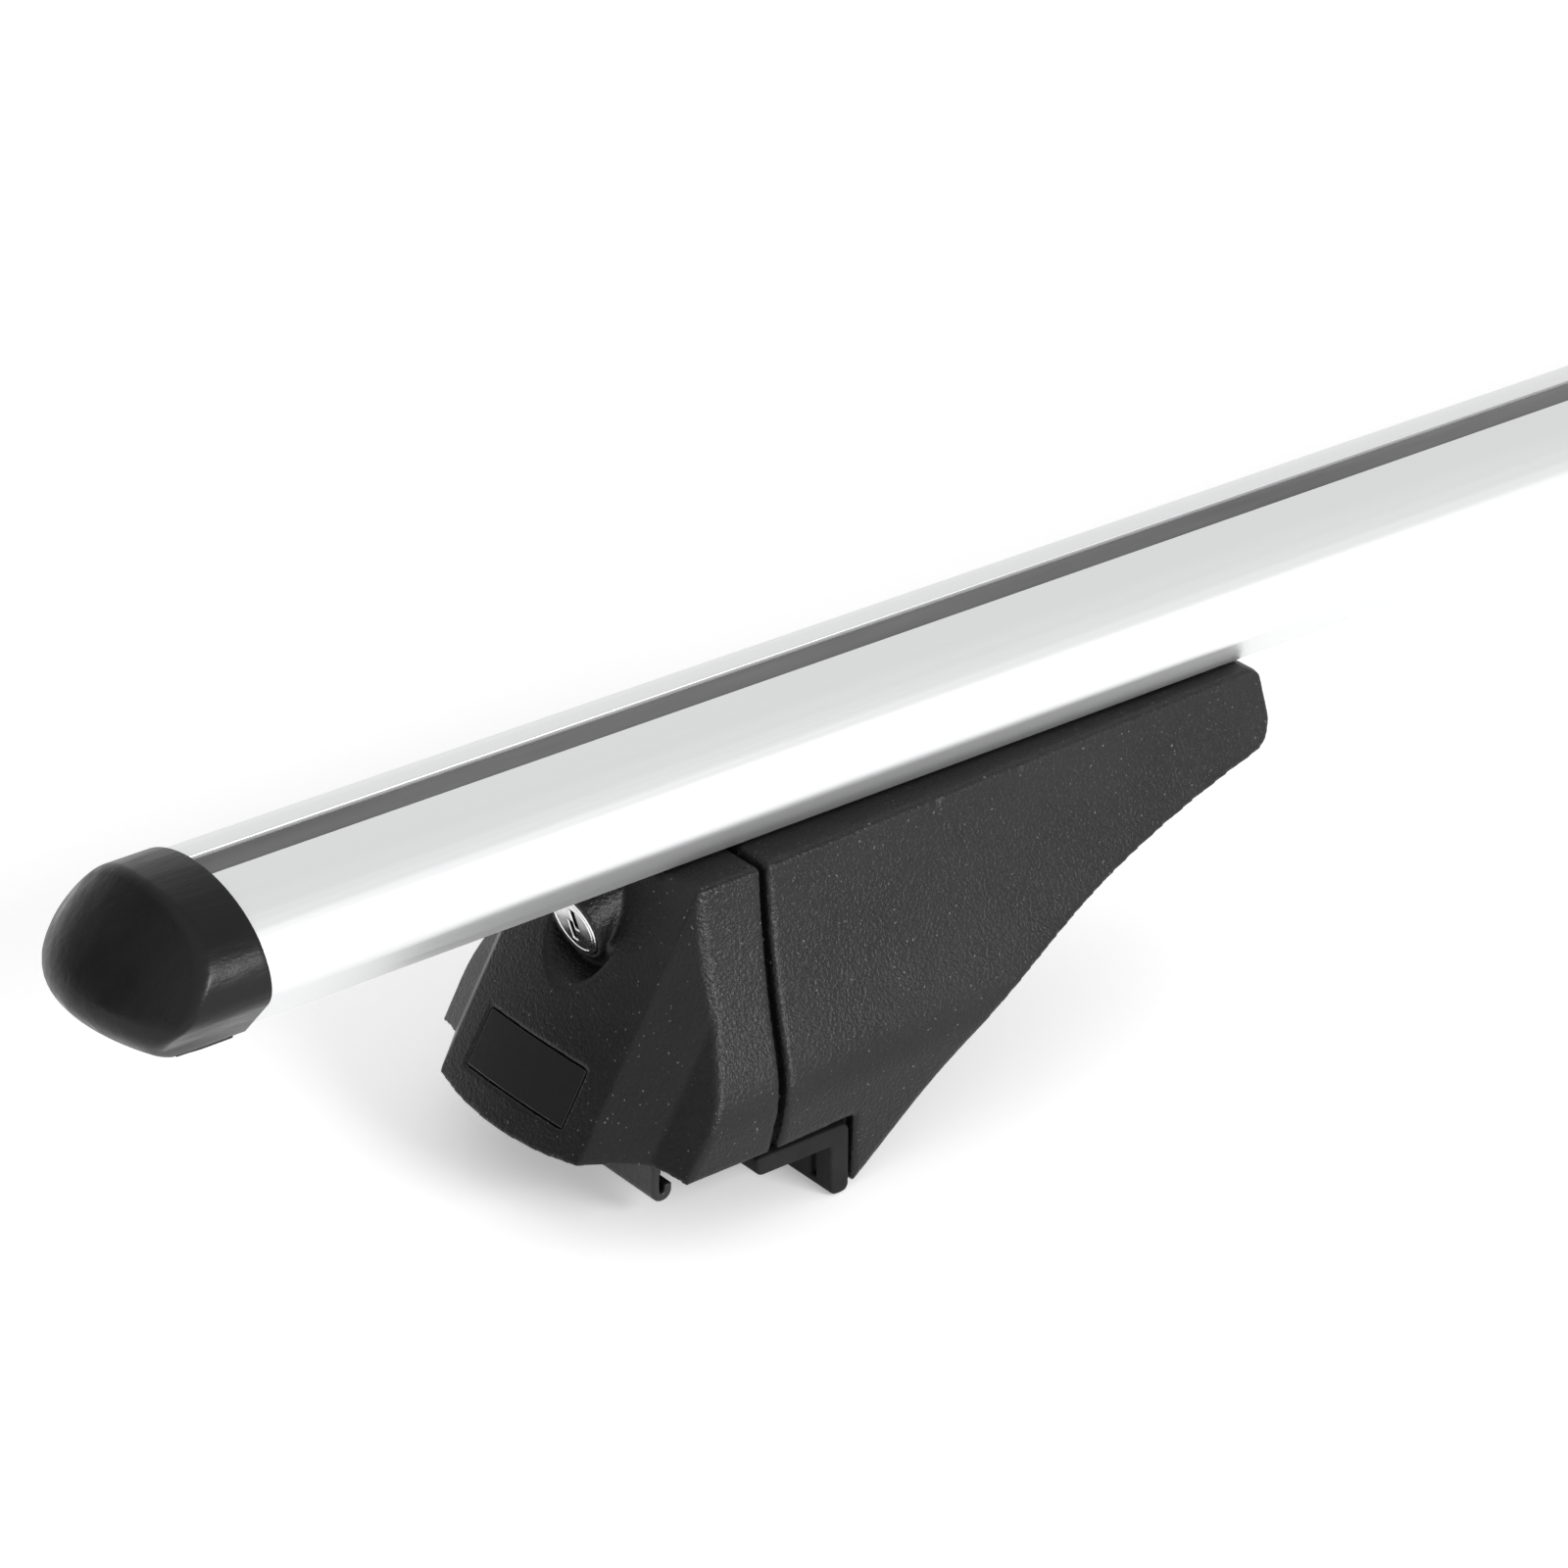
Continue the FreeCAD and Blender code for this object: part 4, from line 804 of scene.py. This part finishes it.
for side in SIDES:
    fit_piece(side + "_socket_screw", at_end(screw_mesh, side), zinc_steel, side + "_screw", "zinc_steel",
              side + "_clamp_screw")
    fit_piece(side + "_screw_ring", at_end(ring_mesh, side), zinc_steel, side + "_screw", "zinc_steel",
              side + "_clamp_washer")
    fit_piece(side + "_screw_nut", at_end(clamp_nut_mesh, side), zinc_steel, side + "_foot", "zinc_steel",
              side + "_clamp_nut")


# Covers
# Each is a shell moulded in the same grained black plastic as the foot body. It slides on along the bar
# and closes on one raked seam.
COVER_FINENESS = 0.0006
cover_mesh = eased_copy("left_foot_cover", "cover", COVER_FINENESS)
for side in SIDES:
    fit_piece(side + "_cover_moulding", at_end(cover_mesh, side), foot_plastic, side + "_cover", "foot_plastic",
              side + "_foot_cover")


# Badge inserts
# Thin blank plates of gloss black plastic, glued in the covers' recesses.
BADGE_TONE = (0.005, 0.005, 0.0053, 1.0)
badge_gloss = new_finish("badge_gloss", BADGE_TONE, roughness=0.14)
ripple = grain(badge_gloss, (60.0,) * 3, 2.0)
to_shader(badge_gloss, spread(badge_gloss, grain(badge_gloss, (200.0,) * 3, 5.0, 0.7), 0.10, 0.2), "Roughness")
raise_by(badge_gloss, ripple, 0.05, 0.001)
badge_mesh = eased_copy("left_badge_insert", "badge", 0.0002, 4)
for side in SIDES:
    fit_piece(side + "_badge_plate", at_end(badge_mesh, side), badge_gloss, side + "_cover", "badge_gloss",
              side + "_badge_insert")


# Locks
# Die-cast barrels and plugs, chrome plated, with a stepped keyway whose deep faces carry painted shade.
# A flat zinc-plated cam is riveted on each plug's tail, behind the catch.
CHROME_TONE = (0.90, 0.90, 0.91, 1.0)
LOCK_FINENESS = 0.00016
LOCK_TILT = math.radians(16.0)
LOCK_FACE = Vector((-0.4845, 0.0, 0.0597))
KEYWAY_SHADE = (0.012, 0.011, 0.010, 1.0)
KEYWAY_FROM = 0.00025
KEYWAY_TO = 0.0064
KEYWAY_REACH = 0.0050
lock_chrome = new_finish("lock_chrome", CHROME_TONE, metallic=1.0, roughness=0.12)
haze = grain(lock_chrome, (400.0,) * 3, 4.0, 0.6)
to_shader(lock_chrome, spread(lock_chrome, haze, 0.08, 0.2), "Roughness")
raise_by(lock_chrome, haze, 0.04, 0.0003)
barrel_mesh = eased_copy("left_lock_barrel", "barrel", LOCK_FINENESS, 6)
plug_mesh = eased_copy("left_lock_plug", "plug", LOCK_FINENESS, 4)
plug_axis = Vector((math.cos(LOCK_TILT), 0.0, math.sin(LOCK_TILT)))
cam_mesh = eased_copy("left_lock_cam", "cam", LOCK_FINENESS, 4)
# Painted shade: a near-black finish that stands in for the shadow inside the keyway.
painted_keyway_shade = new_finish("painted_keyway_shade", KEYWAY_SHADE, metallic=0.5, roughness=0.5)
raise_by(painted_keyway_shade, grain(painted_keyway_shade, (1500.0,) * 3, 3.0), 0.1, 0.0002)
for side in SIDES:
    fit_piece(side + "_lock_case", at_end(barrel_mesh, side), lock_chrome, side + "_cover", "lock_chrome",
              side + "_lock_barrel")
    core = fit_piece(side + "_lock_core", at_end(plug_mesh, side), lock_chrome, side + "_lock", "lock_chrome",
                     side + "_lock_plug")
    core.data.materials.append(painted_keyway_shade)
    way = 1.0 if side == "left" else -1.0
    # Faces deep inside the keyway get the painted shade finish.
    for facet in core.data.polygons:
        inward = Vector((facet.center.x * way, facet.center.y * way, facet.center.z)) - LOCK_FACE
        deep = inward.dot(plug_axis)
        if KEYWAY_FROM < deep < KEYWAY_TO and (inward - plug_axis * deep).length < KEYWAY_REACH:
            facet.material_index = 1
    fit_piece(side + "_lock_tongue", at_end(cam_mesh, side), zinc_steel, side + "_lock", "zinc_steel",
              side + "_lock_cam")


# Studio
# A white floor far larger than the picture, a broad sky that is dim behind the bar's near end, one soft
# lamp and the photograph's camera.
CAMERA_AT = (-1.0633, -0.8074, 0.6099)
CAMERA_LOOK = (0.5486, 0.6970, -0.4617)
CAMERA_LENS = 123.1
FLOOR_REACH = 30.0
FLOOR_WHITE = 0.9
FLOOR_LIFT = 0.33
FLOOR_DROP = 0.0003
SKY = 0.88
BEHIND_LEFT = (-0.78, 0.62, 0.05)
BEHIND_LEFT_SHARE = 0.35
OVERHEAD = (0.55, -0.04, 0.80)
OVERHEAD_SHARE = 0.72
LAMP_AT = (0.34, -3.78, 1.93)
LAMP_AIM = (-0.3, 0.0, 0.06)
LAMP_SIZE = (1.9, 1.1)
LAMP_POWER = 105.0

floor_mesh = bpy.data.meshes.new("floor")
corners = [(-1, -1), (1, -1), (1, 1), (-1, 1)]
floor_mesh.from_pydata([(x * FLOOR_REACH, y * FLOOR_REACH, -FLOOR_DROP) for x, y in corners], [], [(0, 1, 2, 3)])
floor = bpy.data.objects.new("floor", floor_mesh)
scene.collection.objects.link(floor)
floor_finish = new_finish("floor_white", (FLOOR_WHITE,) * 3 + (1.0,), roughness=0.9, gloss=0.0)
seen = floor_finish.node_tree.nodes.new("ShaderNodeLightPath")
looked_at = larger_of(floor_finish, seen.outputs["Is Camera Ray"], seen.outputs["Is Glossy Ray"])
looked_at = larger_of(floor_finish, looked_at, seen.outputs["Is Transmission Ray"])
to_shader(floor_finish, spread(floor_finish, looked_at, 0.0, FLOOR_LIFT, 0.0, 1.0), "Emission Strength")
floor_finish.node_tree.nodes["Principled BSDF"].inputs["Emission Color"].default_value = (1.0, 1.0, 1.0, 1.0)
floor_mesh.materials.append(floor_finish)

sky = bpy.data.worlds.new("studio")
scene.world = sky
sky.use_nodes = True
backdrop = sky.node_tree.nodes["Background"]
backdrop.inputs["Color"].default_value = (1.0, 1.0, 1.0, 1.0)
direction = sky.node_tree.nodes.new("ShaderNodeTexCoord")


def dimmed(strength, towards, share, outside, inside):
    """Sky strength that falls to a share of itself round one direction"""
    facing = sky.node_tree.nodes.new("ShaderNodeVectorMath")
    facing.operation = "DOT_PRODUCT"
    facing.inputs[1].default_value = Vector(towards).normalized()
    sky.node_tree.links.new(direction.outputs["Generated"], facing.inputs[0])
    fall = sky.node_tree.nodes.new("ShaderNodeMapRange")
    fall.interpolation_type = "SMOOTHSTEP"
    for label, value in (("From Min", outside), ("From Max", inside), ("To Min", 1.0), ("To Max", share)):
        fall.inputs[label].default_value = value
    sky.node_tree.links.new(facing.outputs["Value"], fall.inputs["Value"])
    product = sky.node_tree.nodes.new("ShaderNodeMath")
    product.operation = "MULTIPLY"
    sky.node_tree.links.new(fall.outputs["Result"], product.inputs[0])
    if isinstance(strength, float):
        product.inputs[1].default_value = strength
    else:
        sky.node_tree.links.new(strength, product.inputs[1])
    return product.outputs["Value"]


light = dimmed(SKY, BEHIND_LEFT, BEHIND_LEFT_SHARE, 0.25, 0.85)
light = dimmed(light, OVERHEAD, OVERHEAD_SHARE, 0.6, 0.95)
sky.node_tree.links.new(light, backdrop.inputs["Strength"])


def softbox(name, at, aim, width, height, power):
    """Area lamp that looks at a point"""
    lamp = bpy.data.lights.new(name, "AREA")
    lamp.shape = "RECTANGLE"
    lamp.size = width
    lamp.size_y = height
    lamp.energy = power
    stand = bpy.data.objects.new(name, lamp)
    stand.location = at
    stand.rotation_euler = (Vector(aim) - Vector(at)).to_track_quat("-Z", "Y").to_euler()
    scene.collection.objects.link(stand)


softbox("key", LAMP_AT, LAMP_AIM, *LAMP_SIZE, LAMP_POWER)

lens = bpy.data.cameras.new("camera")
lens.lens = CAMERA_LENS
lens.sensor_width = 36.0
lens.clip_end = 100.0
camera = bpy.data.objects.new("camera", lens)
camera.location = CAMERA_AT
camera.rotation_euler = Vector(CAMERA_LOOK).to_track_quat("-Z", "Y").to_euler()
scene.collection.objects.link(camera)
scene.camera = camera
scene.view_settings.view_transform = "Standard"
